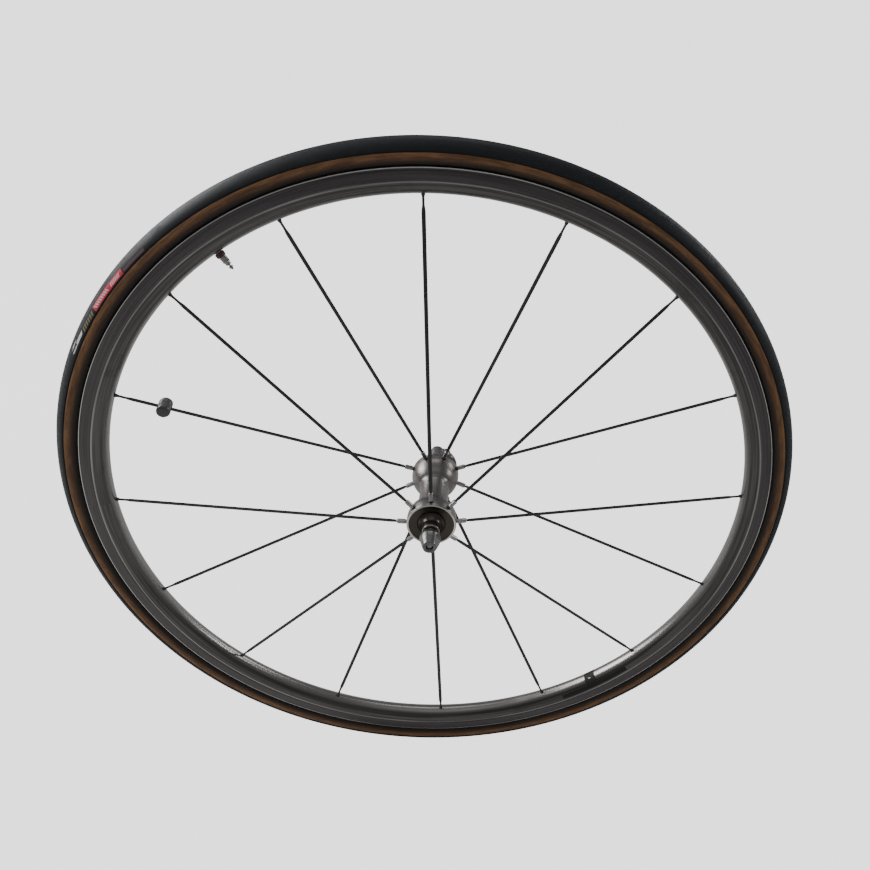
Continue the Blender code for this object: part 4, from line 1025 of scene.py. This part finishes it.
def make_magnet():
    """A round magnet clipped over one spoke, held by a slotted screw."""
    place = spoke_place(MAGNET_SPOKE) @ Matrix.Translation((0, out_along(MAGNET_PLACE), 0))
    place = place @ Matrix.Rotation(math.pi / 2, 4, "X")
    edge = []
    for k in range(9):
        turn = math.pi / 2 * k / 8
        edge.append((3.4 + 2.6 * math.sin(turn), 6.1 + 2.6 * math.cos(turn)))
    body = [(0.0, -8.7)] + [(radius, -along) for radius, along in edge]
    body += [(6.0, -0.45), (5.82, -0.2), (5.82, 0.2), (6.0, 0.45)] + list(reversed(edge))[:-1]
    body += [(3.75, 8.6), (3.55, 8.4), (3.5, 3.0), (0.0, 3.0)]
    cap = lathe("magnet_cap", body, 56, MAGNET_LOOK, "wheel", "spoke_magnet", place=place)
    slot = bmesh.new()
    bmesh.ops.create_cube(slot, size=1.0, matrix=place @ Matrix.Diagonal((3.6, 1.7, 30.0, 1)))
    reshape(cap, [piece("spoke_slot", slot, [None], None)])
    screw = [(0.0, 3.3), (3.3, 3.3), (3.3, 7.9), (3.0, 8.3), (0.0, 8.3)]
    head = lathe("slotted_screw", screw, 40, SCREW_LOOK, "wheel", "magnet_screw", place=place)
    blade = bmesh.new()
    cut = Matrix.Translation((0, 8.4, 0)) @ Matrix.Diagonal((0.9, 2.0, 20.0, 1))
    bmesh.ops.create_cube(blade, size=1.0, matrix=place @ cut)
    reshape(head, [piece("screw_slot", blade, [None], None)])


# ---------------------------------------------------------------- studio

CAMERA_LIFT = 0.6582
CAMERA_TURN = 0.0722
CAMERA_LEAN = 0.0241
CAMERA_REACH = 0.7905
CAMERA_AIM = (0.07425, 0, 0.1329)
FLOOR_LEVEL = -338.2
FLOOR_GLOW = 2.3
ROOM_LIGHT = 0.25
LIGHTS = [  # name, place, size and power. Each points at the middle of the wheel
    ("left_softbox", (-2.0, 0.3, 1.05), (1.2, 1.0), 46),
    ("right_lamp", (2.1, 0.1, 0.66), (0.26, 0.26), 10),
    ("back_left_window", (-1.6, 1.3, 0.9), (0.9, 0.9), 14),
    ("back_right_window", (1.6, 1.3, 0.5), (0.6, 0.6), 6),
    ("back_ceiling", (0.0, 1.5, 2.3), (1.6, 0.8), 8),
    ("top_softbox", (0.0, -0.6, 2.5), (2.2, 1.6), 5),
]


def make_studio():
    """A wide pale floor under the wheel, a soft light on each side and a pale room."""
    bm = bmesh.new()
    place = Matrix.Translation((0, 12000.0, FLOOR_LEVEL))
    bmesh.ops.create_grid(bm, x_segments=40, y_segments=40, size=30000.0, matrix=place)
    floor_look = Finish("pale_floor", None, 0.0, 0.9)
    patch = floor_look.patch
    grain = patch.noise(patch.add("ShaderNodeTexCoord").outputs["Object"], 40.0)
    floor_look.feed("Base Color", patch.blend(grain, (0.58, 0.58, 0.58, 1), (0.62, 0.62, 0.62, 1)))
    output = floor_look.material.node_tree.nodes["Material Output"]
    shader = floor_look.material.node_tree.nodes["Principled BSDF"]
    glow = patch.add("ShaderNodeEmission", (1, 1, 1, 1), FLOOR_GLOW)
    seen = patch.add("ShaderNodeMixShader")
    at_camera = patch.add("ShaderNodeLightPath").outputs["Is Camera Ray"]
    patch.feed(seen.inputs[0], patch.sum("MULTIPLY", at_camera, 0.92))
    patch.feed(seen.inputs[1], shader.outputs[0])
    patch.feed(seen.inputs[2], glow.outputs[0])
    patch.feed(output.inputs["Surface"], seen.outputs[0])
    floor = piece("studio_floor", bm, floor_look.material, None)
    world = bpy.data.worlds.new("pale_room")
    bpy.context.scene.world = world
    world.use_nodes = True
    backdrop = world.node_tree.nodes["Background"].inputs
    backdrop["Color"].default_value = (0.94, 0.96, 1.0, 1)
    backdrop["Strength"].default_value = ROOM_LIGHT
    for name, place, size, power in LIGHTS:
        light = bpy.data.lights.new(name, "AREA")
        light.shape = "RECTANGLE"
        light.size, light.size_y = size
        light.energy = power
        lamp = bpy.data.objects.new(name, light)
        lamp.location = place
        lamp.rotation_euler = (Vector() - Vector(place)).to_track_quat("-Z", "Y").to_euler()
        bpy.context.scene.collection.objects.link(lamp)


def make_camera():
    """A camera before the nut side, above the axle and leaning a little."""
    level = math.cos(CAMERA_LIFT)
    across, back = level * math.sin(CAMERA_TURN), -level * math.cos(CAMERA_TURN)
    place = Vector((across, back, math.sin(CAMERA_LIFT))) * CAMERA_REACH
    ahead = (Vector(CAMERA_AIM) - place).normalized()
    right = ahead.cross(Vector((0, 0, 1))).normalized()
    up = right.cross(ahead)
    cos, sin = math.cos(CAMERA_LEAN), math.sin(CAMERA_LEAN)
    right, up = right * cos + up * sin, up * cos - right * sin
    lens = bpy.data.cameras.new("camera")
    lens.lens, lens.sensor_width = 34.11, 36.0
    lens.shift_x, lens.shift_y = -0.0921, -0.0690
    camera = bpy.data.objects.new("camera", lens)
    camera.matrix_world = Matrix((right, up, -ahead)).transposed().to_4x4()
    camera.location = place
    bpy.context.scene.collection.objects.link(camera)
    bpy.context.scene.camera = camera


def main():
    make_camera()
    make_studio()
    make_rim()
    make_tyre()
    make_labels()
    for number in range(SPOKES):
        make_spoke(number)
        make_nipple(number)
    make_hub()
    make_bearings()
    make_axle()
    make_rod()
    make_nut()
    make_spring("nut_end_spring", "nut_spring", -1, "nut_carriage")
    make_housing()
    make_spring("lever_end_spring", "lever_spring", 1, "housing")
    make_lever()
    make_valve()
    make_magnet()
    kept = {"inner_tube": TUBE_LOOK, "rim_tape": TAPE_LOOK}
    for side in ("nut_side", "lever_side"):
        kept |= {"bearing_cup_" + side: STEEL_LOOK, "ball_ring_" + side: STEEL_LOOK}
    for node, look in kept.items():
        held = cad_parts[node]
        held.data.materials.clear()
        held.data.materials.append(look)


main()
